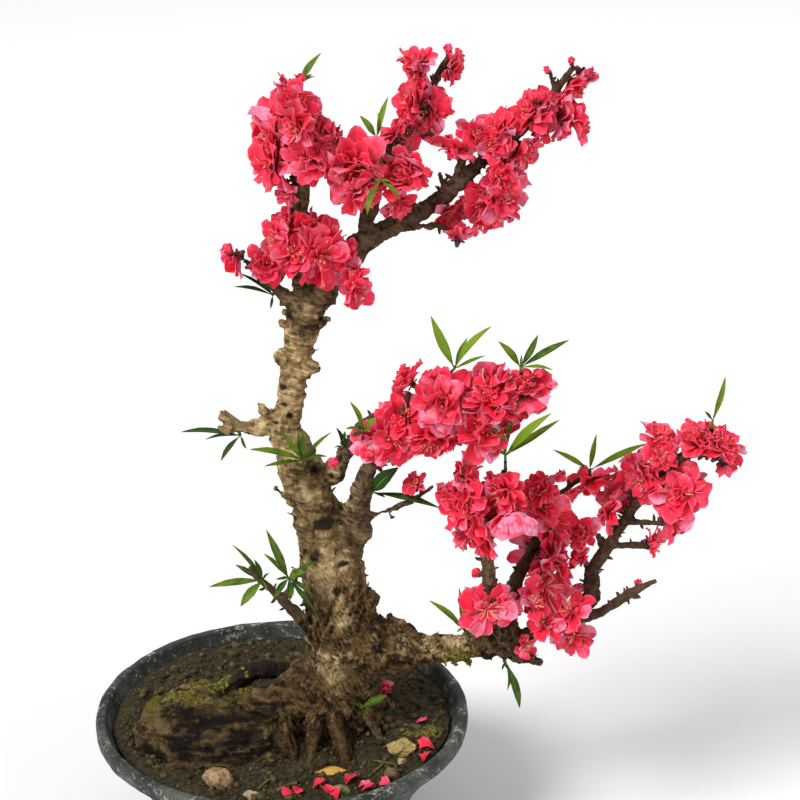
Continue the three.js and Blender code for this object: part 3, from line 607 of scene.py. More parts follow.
def curved(start, middle, end, count):
    """Points on a smooth curve through a start, near a middle and to an end."""
    start, middle, end = Vector(start), Vector(middle), Vector(end)
    shares = [i / (count - 1) for i in range(count)]
    return [(1 - t) ** 2 * start + 2 * t * (1 - t) * middle + t * t * end for t in shares]


# Materials


class Value:
    """A shader socket that takes part in sums as a number does."""

    def __init__(self, graph, socket):
        self.graph = graph
        self.socket = socket

    def math(self, operation, *others):
        inputs = dict(enumerate((self, *others)))
        return self.graph.node("ShaderNodeMath", {"operation": operation}, inputs)

    def __add__(self, other):
        return self.math("ADD", other)

    def __sub__(self, other):
        return self.math("SUBTRACT", other)

    def __mul__(self, other):
        return self.math("MULTIPLY", other)

    def __rsub__(self, other):
        return self.graph.node("ShaderNodeMath", {"operation": "SUBTRACT"}, {0: other, 1: self})

    __radd__ = __add__
    __rmul__ = __mul__

    def part(self, key):
        """Another output of the same node."""
        return Value(self.graph, self.socket.node.outputs[key])

    def between(self, low, high):
        """0 at low and 1 at high, smoothly."""
        inputs = {"Value": self, "From Min": low, "From Max": high}
        return self.graph.node("ShaderNodeMapRange", {"interpolation_type": "SMOOTHSTEP"}, inputs)


class Graph:
    """A new material and the ways to add its nodes."""

    def __init__(self, name):
        self.material = bpy.data.materials.new(name)
        self.material.use_nodes = True
        self.tree = self.material.node_tree
        self.tree.nodes.clear()

    def node(self, kind, settings=None, inputs=None, output=0):
        made = self.tree.nodes.new(kind)
        for key, value in (settings or {}).items():
            setattr(made, key, value)
        for key, value in (inputs or {}).items():
            if isinstance(value, Value):
                self.tree.links.new(value.socket, made.inputs[key])
            else:
                made.inputs[key].default_value = value
        return Value(self, made.outputs[output]) if len(made.outputs) else None

    def places(self):
        """Object coordinates."""
        return self.node("ShaderNodeTexCoord", output="Object")

    def noise(
        self, scale, detail=2.0, roughness=0.5, stretch=(1, 1, 1), turn=(0, 0, 0), vector=None
    ):
        """Noise from about 0.3 to 0.7: scale is its features a metre, stretch draws it out."""
        inputs = {"Vector": vector or self.places(), "Rotation": turn, "Scale": stretch}
        vector = self.node("ShaderNodeMapping", {"vector_type": "TEXTURE"}, inputs)
        inputs = {"Vector": vector, "Scale": scale, "Detail": detail, "Roughness": roughness}
        return self.node("ShaderNodeTexNoise", None, inputs)

    def number(self, name):
        """A number kept on the vertices."""
        return self.node("ShaderNodeAttribute", {"attribute_name": name}, output="Fac")

    def channels(self, name):
        """The three numbers of a colour kept on the vertices."""
        colour = self.node("ShaderNodeAttribute", {"attribute_name": name}, output="Color")
        red = self.node("ShaderNodeSeparateColor", None, {"Color": colour})
        return red, red.part("Green"), red.part("Blue")

    def axes(self, vector):
        """The three numbers of a vector."""
        x = self.node("ShaderNodeSeparateXYZ", None, {"Vector": vector})
        return x, x.part("Y"), x.part("Z")

    def mix(self, low, high, share, blend="MIX"):
        """A colour between two colours."""
        settings = {"data_type": "RGBA", "clamp_factor": True, "blend_type": blend}
        low, high = (c if isinstance(c, Value) else (*c, 1.0) for c in (low, high))
        return self.node("ShaderNodeMix", settings, {0: share, 6: low, 7: high}, 2)

    def painted(self, colour, *coats):
        """A colour under coats, each given by its colour, its share and its way of mixing."""
        for coat in coats:
            colour = self.mix(colour, *coat)
        return colour

    def finish(self, colour, roughness=0.6, height=None, depth=0.0005, **constants):
        """Ends the material in a surface with a bump of a depth in metres."""
        inputs = {"Base Color": colour, "Roughness": roughness}
        inputs |= {key.replace("_", " "): value for key, value in constants.items()}
        if height is not None:
            bump = {"Height": height, "Distance": depth, "Strength": 1.0}
            inputs["Normal"] = self.node("ShaderNodeBump", None, bump)
        surface = self.node("ShaderNodeBsdfPrincipled", None, inputs)
        self.node("ShaderNodeOutputMaterial", None, {"Surface": surface})
        return self.material


# Bark

# Where the wood ends under the soil, how often its skin's steps are evened out, and the most
# triangles that the bark keeps.
WOOD_CUT = 88 * MM
EVENING_ROUNDS = 8
MOST_BARK_FACES = 186000
# A loose crumb of bark has fewer points than this.
LEAST_ISLAND = 1000
# How many points of the skin say how thick the limb is and which way it runs.
GUIDE_COUNT = 3200
# How far spurs and bud stubs bend, against their length, and a spur's least radius in millimetres.
SPUR_BEND = 0.12
LEAST_SPUR = 0.95
# Bud stubs on thin and on thick wood, bud scales on thin wood, and knots on thick wood.
THIN_STUBS, THICK_STUBS, BUD_SCALES, WOOD_KNOTS = 180, 24, 320, 90


def finished(mesh, kind, **settings):
    """A mesh as one modifier leaves it."""
    form = bpy.data.objects.new("form", mesh)
    bpy.context.scene.collection.objects.link(form)
    modifier = form.modifiers.new("shape", kind)
    for key, value in settings.items():
        setattr(modifier, key, value)
    seen = form.evaluated_get(bpy.context.evaluated_depsgraph_get())
    made = bpy.data.meshes.new_from_object(seen)
    bpy.data.objects.remove(form)
    return made


def wood_above_roots():
    """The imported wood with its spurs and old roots, cut off and closed under the soil's top."""
    shape = cad_copy("bonsai_tree")
    skin = BVHTree.FromBMesh(shape)
    parts = shape.verts[:] + shape.edges[:] + shape.faces[:]
    cut = bmesh.ops.bisect_plane(
        shape, geom=parts, plane_co=(0, 0, WOOD_CUT), plane_no=(0, 0, -1), clear_outer=True
    )
    rims = [part for part in cut["geom_cut"] if isinstance(part, bmesh.types.BMEdge)]
    bmesh.ops.holes_fill(shape, edges=rims, sides=0)
    for foot, tip, radius in SPURS:
        near = skin.find_nearest(Vector(foot) * MM)[0]
        run = (Vector(tip) - Vector(foot)) * MM
        bend = run.orthogonal().normalized() * run.length * SPUR_BEND
        bent = [near + run * share + bend for share in (0.4, 0.8)]
        radii = [max(radius * share, LEAST_SPUR) * MM for share in (1.3, 1.05, 0.85, 0.5)]
        add_tube(shape, [near - run * 0.3, *bent, near + run * 1.15], radii, 8)
    for root in ROOTS:
        (start, middle, end), radii = zip(*root)
        bow = [2 * b - (a + c) / 2 for a, b, c in zip(start, middle, end)]
        line = [point * MM for point in curved(start, bow, end, 7)]
        radii = [np.interp(k / 6, (0, 0.5, 1), radii) * MM for k in range(7)]
        add_tube(shape, line, radii, 10)
    return as_mesh(shape, "wood")


def evened(mesh, rounds):
    """Evens out a fine mesh's steps without thinning it."""
    places = coordinates(mesh)
    count = len(places)
    edges = rows_of(mesh.edges, "vertices", 2, np.int64)
    ends = np.concatenate([edges, edges[:, ::-1]])
    links = np.bincount(ends[:, 0], minlength=count)[:, None]
    for pull in [0.5, -0.52] * rounds:
        near = places[ends[:, 1]]
        total = np.stack([np.bincount(ends[:, 0], near[:, k], count) for k in range(3)], axis=1)
        places = places + pull * (total / links - places)
    set_coordinates(mesh, places)


def main_body(mesh):
    """A mesh without the loose crumbs that a remesh leaves beside it."""
    shape = bmesh.new()
    shape.from_mesh(mesh)
    left = set(shape.verts)
    while left:
        island, front = set(), {left.pop()}
        while front:
            island |= front
            front = {edge.other_vert(vert) for vert in front for edge in vert.link_edges} - island
        left -= island
        if len(island) < LEAST_ISLAND:
            bmesh.ops.delete(shape, geom=list(island), context="VERTS")
    return as_mesh(shape, mesh.name)


def nearest(tree, places, count):
    """The numbers of the nearest points in a tree, and weights that fall with distance."""
    found = [tree.find_n(place, count) for place in places]
    numbers = np.array([[item[1] for item in near] for near in found])
    away = np.array([[item[2] for item in near] for near in found])
    weights = 1 / (away**2 + 1e-7)
    return numbers, weights / weights.sum(axis=1, keepdims=True)


def point_tree(places):
    """A tree of points to search."""
    tree = KDTree(len(places))
    for i, place in enumerate(places):
        tree.insert(place, i)
    tree.balance()
    return tree


def wood_guides(wood, skin):
    """For each point of the skin, how thick the limb is there and which way it runs."""
    places, facing = coordinates(skin), normals_of(skin)
    solid = BVHTree.FromPolygons(places.tolist(), [p.vertices[:] for p in skin.polygons])
    picked = np.random.default_rng(5).permutation(len(places))[:GUIDE_COUNT]
    inside = places[picked] - 0.4 * MM * facing[picked]
    hits = [solid.ray_cast(p, Vector(-n)) for p, n in zip(inside.tolist(), facing[picked])]
    girth = np.array([hit[3] / 2 if hit[0] else MM for hit in hits])
    guides = point_tree(places[picked])
    numbers, _ = nearest(guides, places[picked], 14)
    girth = np.median(girth[numbers], axis=1)

    middles, normals = (rows_of(wood.polygons, key) for key in ("center", "normal"))
    areas = rows_of(wood.polygons, "area", 1)[:, 0]
    away = ((places[picked][:, None] - middles[None]) ** 2).sum(axis=2)
    weights = areas * np.exp(-away / (2 * (1.6 * girth[:, None] + 2 * MM) ** 2))
    spread = weights @ np.einsum("ti,tj->tij", normals, normals).reshape(-1, 9)
    spread /= weights.sum(axis=1, keepdims=True) + 1e-12

    numbers, shares = nearest(guides, places, 5)
    thickness = (girth[numbers] * shares).sum(axis=1)
    tensors = (spread[numbers] * shares[..., None]).sum(axis=1).reshape(-1, 3, 3)
    along = np.linalg.eigh(tensors)[1][:, :, 0]
    along -= facing * (along * facing).sum(axis=1, keepdims=True)
    along /= np.linalg.norm(along, axis=1, keepdims=True) + 1e-9
    return places, facing, thickness, along


def near_line(places, line):
    """How far places are from a line of points, seen from the front, in metres."""
    flat = places[:, [0, 2]]
    points = np.array(line)[:, [0, 2]] * MM
    least = np.full(len(flat), 1.0)
    for low, high in zip(points, points[1:]):
        run = high - low
        share = np.clip(((flat - low) @ run) / (run @ run), 0, 1)
        least = np.minimum(least, np.linalg.norm(flat - low - share[:, None] * run, axis=1))
    return least


def bark_relief(places, facing, girth, along, amount):
    """Heights over the wood in metres, and the numbers that its material reads."""
    x, y, z = (places / MM).T
    across = np.cross(along, facing)
    old = ramp(girth, 2.5 * MM, 7 * MM)
    thick = np.clip(girth / (12 * MM), 0.12, 1)
    # Parts of the wood: the upper trunk, the old rootstock, its rim, the front roots and the base.
    upper = ramp(z, 215, 270)
    stump = fall(x, -14, 12) * fall(z, 130, 148)
    log_rim = oval(x, y, (-18, 12), (30, 12)) * ramp(z, 120, 128)
    root = fall(y, -48, -38) * fall(z, 120, 128) * ramp(x, -4, 2)
    base = (1 - upper) * (1 - stump)
    # Patterns: rings round the limb, streaks along it, layers, lumps of several sizes and ridges.
    rings = combed(places, across, 2.2 * MM, 8 * MM, 3)
    streaks = combed(places, 0.9 * along + 0.43 * across, 2.3 * MM, 11 * MM, 4)
    strata = noise(places * (0.16, 0.16, 1), 3.4 * MM, 5)
    strata += 0.6 * noise(places * (0.3, 0.3, 1), 2.3 * MM, 15)
    coarse, burls = noise(places, 17 * MM, 1), noise(places, 9 * MM, 2)
    warts, grit = noise(places, 4.8 * MM, 6), noise(places, 2.5 * MM, 7)
    ridges = 1 - 2 * np.abs(noise(places, 7 * MM, 13))
    wobble = np.clip(1 + 0.35 * burls + 0.3 * grit, 0.4, None)

    lumps = thick * (1.5 * coarse + 1.1 * burls) - 0.9 * upper * thick
    lumps += (base + stump) * old * (0.3 * ridges + 0.35 * warts)
    detail = old * upper * (0.4 * rings + 0.1 * streaks + 0.2 * warts)
    detail += base * old * 0.7 * streaks + np.maximum(stump, log_rim) * 1.2 * strata
    detail += old * 0.2 * warts + (0.2 + 0.3 * old) * grit
    detail -= old * 0.9 * ramp(warts, 1.0, 1.4)
    calm = oval(x, z, (32, 150), (26, 14))
    detail *= 1 - 0.6 * calm

    # Knots over the thick wood, then the marks of the photographed side.
    knot_and_pit_shade, pale, soiled_and_shaded = (np.zeros(len(places)) for _ in range(3))
    draw = np.random.default_rng(11)
    knotted = np.flatnonzero((girth > 6 * MM) & (z > 112) & (stump < 0.5))
    for site in draw.permutation(knotted)[:WOOD_KNOTS]:
        reach, rise = draw.uniform(1.6, 3.8), draw.uniform(0.6, 2.8)
        bump = np.exp(-((places - places[site]) ** 2).sum(axis=1) / (reach * MM) ** 2 * wobble)
        lumps += rise * bump
        knot_and_pit_shade = np.maximum(knot_and_pit_shade, draw.uniform(0.0, 0.45) * bump)
    # Each mark's darkness is dark knots and painted shade in pits and the knot hole; its paleness
    # is pale bark and painted highlights; its dirt is real dirt and painted shade, with painted
    # highlights below 0.
    for middle, wide, high, rise, dark, pale_and_highlight, soil in BARK_MARKS:
        half = (wide, 1.5 * max(wide, high), high)
        away = ((places / MM - middle) / half) ** 2 @ np.ones(3) * wobble
        bump = np.exp(-(away**1.5))
        lumps += rise * bump * (1 - 0.9 * (dark == 1) * np.exp(-4 * away))
        knot_and_pit_shade = np.maximum(knot_and_pit_shade, dark * bump)
        pale = np.maximum(pale, pale_and_highlight * bump)
        soiled_and_shaded += soil * np.exp(-0.7 * away)
    seam = np.exp(-((near_line(places, SCAR) / MM) ** 2)) * (y < -8)
    detail += 0.7 * seam
    pale = np.maximum(pale, 0.6 * seam)

    # Age: tan bark on thick wood, and dark young bark on the crown, the limbs and the far tip.
    crown = ramp(z, 418, 462)
    branch = ramp(x, 46, 62) * ramp(z, 258, 282)
    far = ramp(x, 150, 190) * fall(z, 232, 250)
    left_stub = fall(x, -12, -4) * ramp(z, 325, 335) * fall(z, 365, 375)
    age = ramp(girth, 3.5 * MM, 8 * MM) * (1 - 0.85 * crown) * (1 - 0.85 * branch) * (1 - 0.7 * far)
    age = np.maximum(np.maximum(age, 0.8 * left_stub), root)
    # Darkening: painted shade on undersides; dirt low down and in patches; the marks' dirt with
    # their painted shade and highlights; and a darker rootstock, most on its front.
    # Painted shade on the undersides.
    under = ramp(-facing[:, 2], 0.0, 0.7)
    low = fall(z, 190, 350) * (1 - 0.3 * ramp(x, 88, 112))
    back = ramp(y, -36, -18)
    top = ramp(facing[:, 2], 0.35, 0.8) * back
    patch = 0.5 + 0.4 * noise(places, 24 * MM, 8) + 0.3 * noise(places, 9 * MM, 9)
    knot_and_pit_shade = np.maximum(knot_and_pit_shade, 1.2 * log_rim)
    dirt_and_shade = 0.8 * under + 0.75 * low + 0.6 * patch * (0.3 + 0.7 * low) + soiled_and_shaded
    dirt_and_shade += stump * (1.4 - 0.5 * back - top) + 0.4 * fall(z, 112, 136) * (1 - stump) + 0.8 * far
    # Painted shade in the relief's hollows and a painted highlight on its ridges, for the bark's
    # colour; the rootstock a little darker.
    relief_shade = np.clip(0.56 - 0.1 * stump + detail / 3.4, 0, 1)
    limb_moss = oval(x, z, (137, 170), (17, 9))
    stump_moss = 0.8 * stump * top * ramp(noise(places, 7 * MM, 12) + patch, 0.2, 1.2)
    foot_moss = 0.35 * fall(z, 108, 122) * ramp(patch, 0.7, 1.1)
    moss = np.clip(np.maximum(limb_moss, stump_moss) + foot_moss, 0, 1)
    numbers = {
        "wood_tone": (age, np.clip(dirt_and_shade / 2 + 0.25, 0, 1), relief_shade),
        "wood_marks": (moss, np.clip(pale, 0, 1), np.clip(knot_and_pit_shade, 0, 1)),
        "wood_grain": (upper * old, base * old * (1 - 0.4 * calm), stump),
    }
    return (lumps + detail) * (1 - 0.75 * root) * amount * MM, numbers


def bark_material(look):
    """Wrinkled tan bark with painted shade in its hollows and a painted highlight on its ridges;
    darker on young wood and near the soil.
    """
    bark = Graph("peach_bark")
    # The wood's tone: its age, dirt with painted shade and highlights, and the painted shade of its
    # relief.
    age, dirt_and_shade, relief_shade = bark.channels("wood_tone")
    moss, pale, knot_and_pit_shade = bark.channels("wood_marks")
    ringed, streaked, layered = bark.channels("wood_grain")
    lean, slant = math.radians(13), math.radians(-28)
    rings = bark.noise(560, 3, 0.6, (7, 7, 1), (0, lean, 0)) - 0.5
    fibres = bark.noise(640, 3, 0.6, (1, 1, 10), (0, slant, 0)) - 0.5
    layers = bark.noise(400, 3, 0.6, (7, 7, 1)) - 0.5
    patches, blots, flecks = bark.noise(70, 3), bark.noise(190, 2), bark.noise(480, 3, 0.65)
    fine = bark.noise(1300, 2, 0.6)
    grain = (flecks - 0.5) * (0.9 - streaked * 0.4 - ringed * 0.3)
    grain = grain + rings * ringed + fibres * streaked * 1.4 + layers * layered * 1.9
    tone = (patches - 0.5) * 0.8 + (blots - 0.5) * (0.3 + streaked * 0.5)
    tan, dark = np.array(look.tan), np.array(look.dark)
    # Dirt and painted shade, with painted highlights where it is low.
    soiled_and_shaded = dirt_and_shade * 2 - 0.5
    # The bark's level: painted shade in the hollows and a painted highlight on the ridges, with
    # grain and tone, less dirt and painted shade.
    level = relief_shade + grain * (1.15 + soiled_and_shaded * 0.15) + tone - soiled_and_shaded * 0.24
    # Near black in the deepest hollows and pale on the ridges: painted shade and painted highlight.
    old = bark.painted(
        (0.013, 0.009, 0.005),
        ((0.080, 0.052, 0.026), level.between(-0.2, 0.1)),
        (tan * (0.58, 0.56, 0.50), level.between(0.06, 0.45)),
        (tan * (1.4, 1.46, 1.6), level.between(0.43, 0.86)),
        (tan * (0.42, 0.36, 0.28), patches.between(0.48, 0.68) * 0.5),
        ((0.41, 0.37, 0.31), soiled_and_shaded.between(0.0, 1.3), "MULTIPLY"),
        ((0.52, 0.53, 0.50), layered, "MULTIPLY"),
    )
    green = bark.mix((0.030, 0.034, 0.003), (0.22, 0.175, 0.018), fine.between(0.35, 0.7))
    # Young bark is lighter on its ridges and darker in its hollows: painted highlight and painted
    # shade.
    colour = bark.painted(
        dark * 0.4,
        (dark * 2.2, (relief_shade + grain).between(0.15, 0.95)),
        (old, age),
        (green, (moss * (flecks + 0.25)).between(0.28, 0.5) * 0.85),
        # Pale bark and the scar, and painted highlights, brighter on the ridges.
        ((0.68, 0.55, 0.31), pale * 0.8 * (level + 0.2).between(0.2, 0.9)),
        # Dark knots and the log's rim, and painted shade in pits and the knot hole.
        ((0.016, 0.011, 0.006), (knot_and_pit_shade + grain * 0.5).between(0.25, 0.75)),
    )
    roughness = 0.92 - flecks * 0.15
    return bark.finish(colour, roughness, grain + fine * 0.3, 1.1 * MM, Specular_IOR_Level=0.16)


def pointed(lumps):
    """Pointed lumps of wood, each from a foot to a tip with a radius."""
    shape = bmesh.new()
    for foot, tip, wide in lumps:
        foot, tip = Vector(foot), Vector(tip)
        along = tip - foot
        bend = along.orthogonal().normalized() * along.length * SPUR_BEND
        bent = [foot + along * share + bend for share in (0.35, 0.75)]
        steps = [foot - along.normalized() * 0.8 * MM, *bent, tip]
        add_tube(shape, steps, [wide * share for share in (0.9, 1.1, 0.8, 0.2)], 5)
    return smooth(as_mesh(shape, "lumps"))


def sprouting(places, facing, draw, longest, slimness):
    """Feet, tips and radii of short lumps that stand out of the wood, leaning a little upwards."""
    lumps = []
    for place, out in zip(places, facing):
        along = (Vector(out) + stray(draw) * 0.5 + Vector((0, 0, 0.35))).normalized()
        size = draw.uniform(0.5, 1) * longest
        radius = size * draw.uniform(0.7, 1.1) * slimness
        lumps.append((place, Vector(place) + along * size, radius))
    return lumps


def plain_wood(mesh, *tone):
    """Gives small wood one tone all over, with no marks or grain, for the bark to read."""
    set_colours(mesh, "wood_tone", *tone)
    set_colours(mesh, "wood_marks")
    set_colours(mesh, "wood_grain")


# Blades: petals, leaves and the stamens' threads


def blade_form(across, along):
    """A flat unit blade with a sharp rim: x across from -1 to 1, y from foot to tip."""
    shape = bmesh.new()
    chart = shape.loops.layers.uv.new("UVMap")
    bmesh.ops.create_grid(shape, x_segments=across, y_segments=along, size=1)
    bmesh.ops.scale(shape, vec=(1, 0.5, 1), verts=shape.verts)
    bmesh.ops.translate(shape, vec=(0, 0.5, 0), verts=shape.verts)
    bmesh.ops.solidify(shape, geom=shape.faces[:], thickness=1)
    bmesh.ops.recalc_face_normals(shape, faces=shape.faces)
    for edge in shape.edges:
        edge.smooth = edge.calc_face_angle() < 1
    for face in shape.faces:
        face.smooth = True
        for loop in face.loops:
            loop[chart].uv = (loop.vert.co.x / 2 + 0.5, loop.vert.co.y)
    return as_mesh(shape, "blade")


def joined(forms):
    """One mesh of several forms, each with its material's number."""
    shape = bmesh.new()
    for form, finish in forms:
        add_form(shape, form, finish)
    return as_mesh(shape, "joined")


def laid(form, middles, sides, alongs, halves, lifts, thickness):
    """Places for a blade's points: its sides, its run from foot to tip, half widths and lifts."""
    across, through = form[:, 0], form[:, 2]
    faces = np.cross(sides, alongs)
    out = middles + sides * (halves * across)[..., None]
    return out + faces * (lifts + thickness * through)[..., None]


def petal_places(form, spread, thickness):
    """Places of one flower's blades, in metres, from its foot, with +Z along its axis.

    Each row of spread: turn, length, half width, first and last tilt from the axis, cup, ruffle,
    twist and the ruffles' phase.
    """
    turn, length, half, first, last, cup, ruffle, twist, phase = spread.T[:, :, None]
    across, run = form[:, 0], 0.5 * form[:, 1] + 0.5 * form[:, 1] * (2 - form[:, 1])
    run = run * (1 - 0.10 * across**2 + 0.045 * form[:, 1] ** 3 * np.sin(7 * phase + 11 * across))
    bend = last - first + 1e-3
    tilt = first + bend * run
    out = (np.cos(first) - np.cos(tilt)) / bend
    up = (np.sin(tilt) - np.sin(first)) / bend
    zero = np.zeros_like(tilt)
    radial = np.stack([np.cos(turn) + zero, np.sin(turn) + zero, zero], axis=-1)
    side = np.stack([zero - np.sin(turn), np.cos(turn) + zero, zero], axis=-1)
    axis = np.stack([zero, zero, zero + 1], axis=-1)
    along = np.sin(tilt)[..., None] * radial + np.cos(tilt)[..., None] * axis
    facing = np.cross(side, along)
    roll = (twist * run)[..., None]
    side = np.cos(roll) * side + np.sin(roll) * facing
    middles = (length * out)[..., None] * radial + (length * up)[..., None] * axis
    outline = np.interp(form[:, 1], [0, 0.25, 0.5, 0.75, 1], [0.14, 0.48, 0.9, 1.06, 0.76])
    waves = np.sin(3.1 * across + phase) + 0.6 * np.sin(5.3 * across - 7 * run + 2 * phase)
    lifts = -half * cup * across**2 * np.sqrt(run) - half * ruffle * waves * run**1.5
    return laid(form, middles, side, along, half * outline, lifts, thickness)


# Each ring of petals: how many, then their length and half width in flower widths, and their
# first and last tilt in degrees.
RINGS = [
    (9, 0.58, 0.145, 60, 112),
    (9, 0.54, 0.135, 44, 98),
    (8, 0.48, 0.120, 30, 86),
    (6, 0.40, 0.105, 16, 72),
    (4, 0.31, 0.085, 4, 52),
]
PETALS = sum(ring[0] for ring in RINGS)
SEPALS = 5
# One blossom hangs down and shows the outside of its broad petals, closed like a bowl.
BOWL_SPRAY, BOWL_AXIS, BOWL_HALF, BOWL_TILTS = "low_centre", (0.1, -0.45, -1), 0.32, (82, -14)
# How far a blossom's foot is behind its middle, in flower widths.
CUP_DEPTH = 0.42
# Narrower flowers than this are less open.
SMALL_FLOWER = 33 * MM
SEPAL_THICKNESS, THREAD_THICKNESS, LEAF_THICKNESS = 0.4 * MM, 0.45 * MM, 0.35 * MM
BUD_PETALS, SMALL_LEAVES = 6, 2
# The radii of the stalks of buds and of leaf shoots, from the wood outwards, in millimetres.
BUD_STALK = (1.7, 1.3, 1.2, 1.3, 1.9)
SHOOT_STALK = (1.5, 1.2, 1.1, 0.9)
# The numbers of a flower's finishes, and their names in that order.
PETAL, SEPAL, THREAD, ANTHER = range(4)
FLOWER_FINISHES = ("pink_petal", "maroon_cup", "pink_thread", "gold_anther")


def blossom_forms(stamens):
    """The blades, anthers and cup of one blossom: the joined mesh and each form's own places."""
    petal, sepal, thread = blade_form(3, 4), blade_form(2, 2), blade_form(1, 3)
    shape = bmesh.new()
    bmesh.ops.create_icosphere(shape, subdivisions=1, radius=1)
    anther = smooth(as_mesh(shape, "anther"))
    shape = bmesh.new()
    bmesh.ops.create_cone(shape, cap_ends=True, segments=9, radius1=0.45, radius2=1, depth=1)
    bmesh.ops.translate(shape, vec=(0, 0, -0.5), verts=shape.verts)
    cup = smooth(as_mesh(shape, "cup"))
    counts = [(petal, PETAL, PETALS), (sepal, SEPAL, SEPALS), (thread, THREAD, stamens)]
    counts += [(anther, ANTHER, stamens), (cup, SEPAL, 1)]
    whole = joined([(form, finish) for form, finish, count in counts for _ in range(count)])
    return whole, [coordinates(form) for form, _, _ in counts]


def blossom_places(forms, width, draw, look, loose=False, bowl=False):
    """Places of one blossom's points, from its foot with +Z along its axis, and their tints."""
    petal, sepal, thread, anther, cup = forms
    open_by = math.radians(draw.uniform(-16, 6) - (14 if width < SMALL_FLOWER else 0))
    rows, tints = [], []
    for k, (count, length, half, first, last) in enumerate(RINGS):
        turn = draw.uniform(0, 7)
        shrink = 0.62 if loose and k > 0 else 0.45 if bowl and k > 0 else 1
        if loose and k == 0:
            half *= 1.12
        if bowl and k == 0:
            half, (first, last) = BOWL_HALF, BOWL_TILTS
        for i in range(count):
            size = width * look.petal_size * shrink * draw.uniform(0.76, 1.12)
            start = math.radians(first + draw.uniform(-13, 13)) + open_by * 0.6
            stop = math.radians(last + draw.uniform(-34, 24) * (1 - 0.8 * bowl)) + open_by
            rows.append((
                turn + (i + draw.uniform(-0.34, 0.34)) * 2 * math.pi / count,
                size * length,
                size * half * draw.uniform(0.85, 1.2),
                start,
                stop,
                draw.uniform(-0.1, 0.75),
                draw.uniform(0.12, 0.42) * (1 - 0.8 * bowl),
                draw.uniform(-0.8, 0.8) * (1 - 0.9 * bowl),
                draw.uniform(0, 7),
            ))
            tint = draw.uniform(0, 0.65) + 0.45 * (1 - k / 4) * draw.uniform(0.2, 1)
            tints.append(tint + 0.4 * bowl)
    petals = petal_places(petal, np.array(rows), look.petal_thickness)
    tints = np.repeat(np.clip(tints, 0, 1), len(petal))
    turns = np.arange(SEPALS) * 2 * math.pi / SEPALS + draw.uniform(0, 1)
    rows = [(t, 5.2 * MM, 2.1 * MM, 1.0, 1.9, 0.3, 0.05, 0, 0) for t in turns]
    sepals = petal_places(sepal, np.array(rows), SEPAL_THICKNESS) - (0, 0, 0.9 * MM)
    rows = [
        (draw.uniform(0, 7), width * draw.uniform(0.28, 0.46), 0.3 * MM, draw.uniform(0.0, 0.6),
         draw.uniform(0.3, 1.35), 0, 0, 0, 0)
        for _ in range(look.stamens)
    ]
    threads = petal_places(thread, np.array(rows), THREAD_THICKNESS)
    ends = threads[:, thread[:, 1] > 0.99].mean(axis=1)
    anthers = ends[:, None] + anther * (0.62 * MM, 0.62 * MM, 0.85 * MM)
    cups = cup * (2.7 * MM, 2.7 * MM, 4.6 * MM) + (0, 0, 0.5 * MM)
    rest = [sepals.reshape(-1, 3), threads.reshape(-1, 3), anthers.reshape(-1, 3), cups]
    places = np.concatenate([petals.reshape(-1, 3), *rest])
    return places, np.concatenate([tints, np.zeros(len(places) - len(tints))])


def petal_material(look):
    """Thin deep pink petals, darker at the foot, with faint veins, some petals paler, and a painted
    highlight on their rims and tips.
    """
    petal = Graph(FLOWER_FINISHES[PETAL])
    chart = petal.node("ShaderNodeUVMap", {"uv_map": "UVMap"})
    across, run, _ = petal.axes(chart)
    tint = petal.number("tint")
    veins = petal.noise(16, 2, 0.5, stretch=(1, 10, 1), vector=chart)
    cloud = petal.noise(130, 2)
    rim = (across - 0.5).math("ABSOLUTE").between(0.34, 0.5)
    bright, deep, pale = (tuple(colour) for colour in (look.bright, look.deep, look.pale))
    # Paler petals, and a painted highlight on each petal's rim and tip.
    paler_and_highlight = tint.between(0.5, 1.0) * 0.85 + rim * 0.2 + run.between(0.75, 1.0) * 0.25
    colour = petal.painted(
        deep,
        (bright, (run * 1.1 + tint * 0.4 + cloud - 0.62).between(0.0, 0.75)),
        (pale, paler_and_highlight * cloud.between(0.3, 0.62)),
        (deep, veins.between(0.48, 0.68) * 0.42),
    )
    return petal.finish(
        colour, 0.5 + veins * 0.12, veins, 0.25 * MM,
        Sheen_Weight=0.04, Sheen_Roughness=0.5, Subsurface_Weight=0.15, Subsurface_Scale=1.6 * MM,
        Subsurface_Radius=(1.0, 0.25, 0.3), Specular_IOR_Level=0.28,
    )


def sepal_material():
    """Dark maroon cups and sepals, a little green and dusty."""
    sepal = Graph(FLOWER_FINISHES[SEPAL])
    mottle, fine = sepal.noise(260, 2), sepal.noise(900, 2)
    colour = sepal.painted(
        (0.045, 0.006, 0.010),
        ((0.16, 0.018, 0.028), mottle.between(0.35, 0.65)),
        ((0.10, 0.085, 0.03), fine.between(0.52, 0.72) * 0.7),
    )
    return sepal.finish(colour, 0.62 - fine * 0.1, fine, 0.2 * MM)


def thread_material(name, low, high):
    """Stamens: threads or tips, mottled between two colours."""
    thread = Graph(name)
    grain = thread.noise(700, 1)
    return thread.finish(thread.mix(low, high, grain.between(0.35, 0.65)), 0.55, grain, 0.1 * MM)


def blossom_materials(look):
    """The finishes of petals, sepals, threads and anthers, in that order."""
    return [
        petal_material(look),
        sepal_material(),
        thread_material(FLOWER_FINISHES[THREAD], (0.90, 0.22, 0.20), (1.0, 0.52, 0.42)),
        thread_material(FLOWER_FINISHES[ANTHER], (0.50, 0.17, 0.05), (0.80, 0.45, 0.16)),
    ]


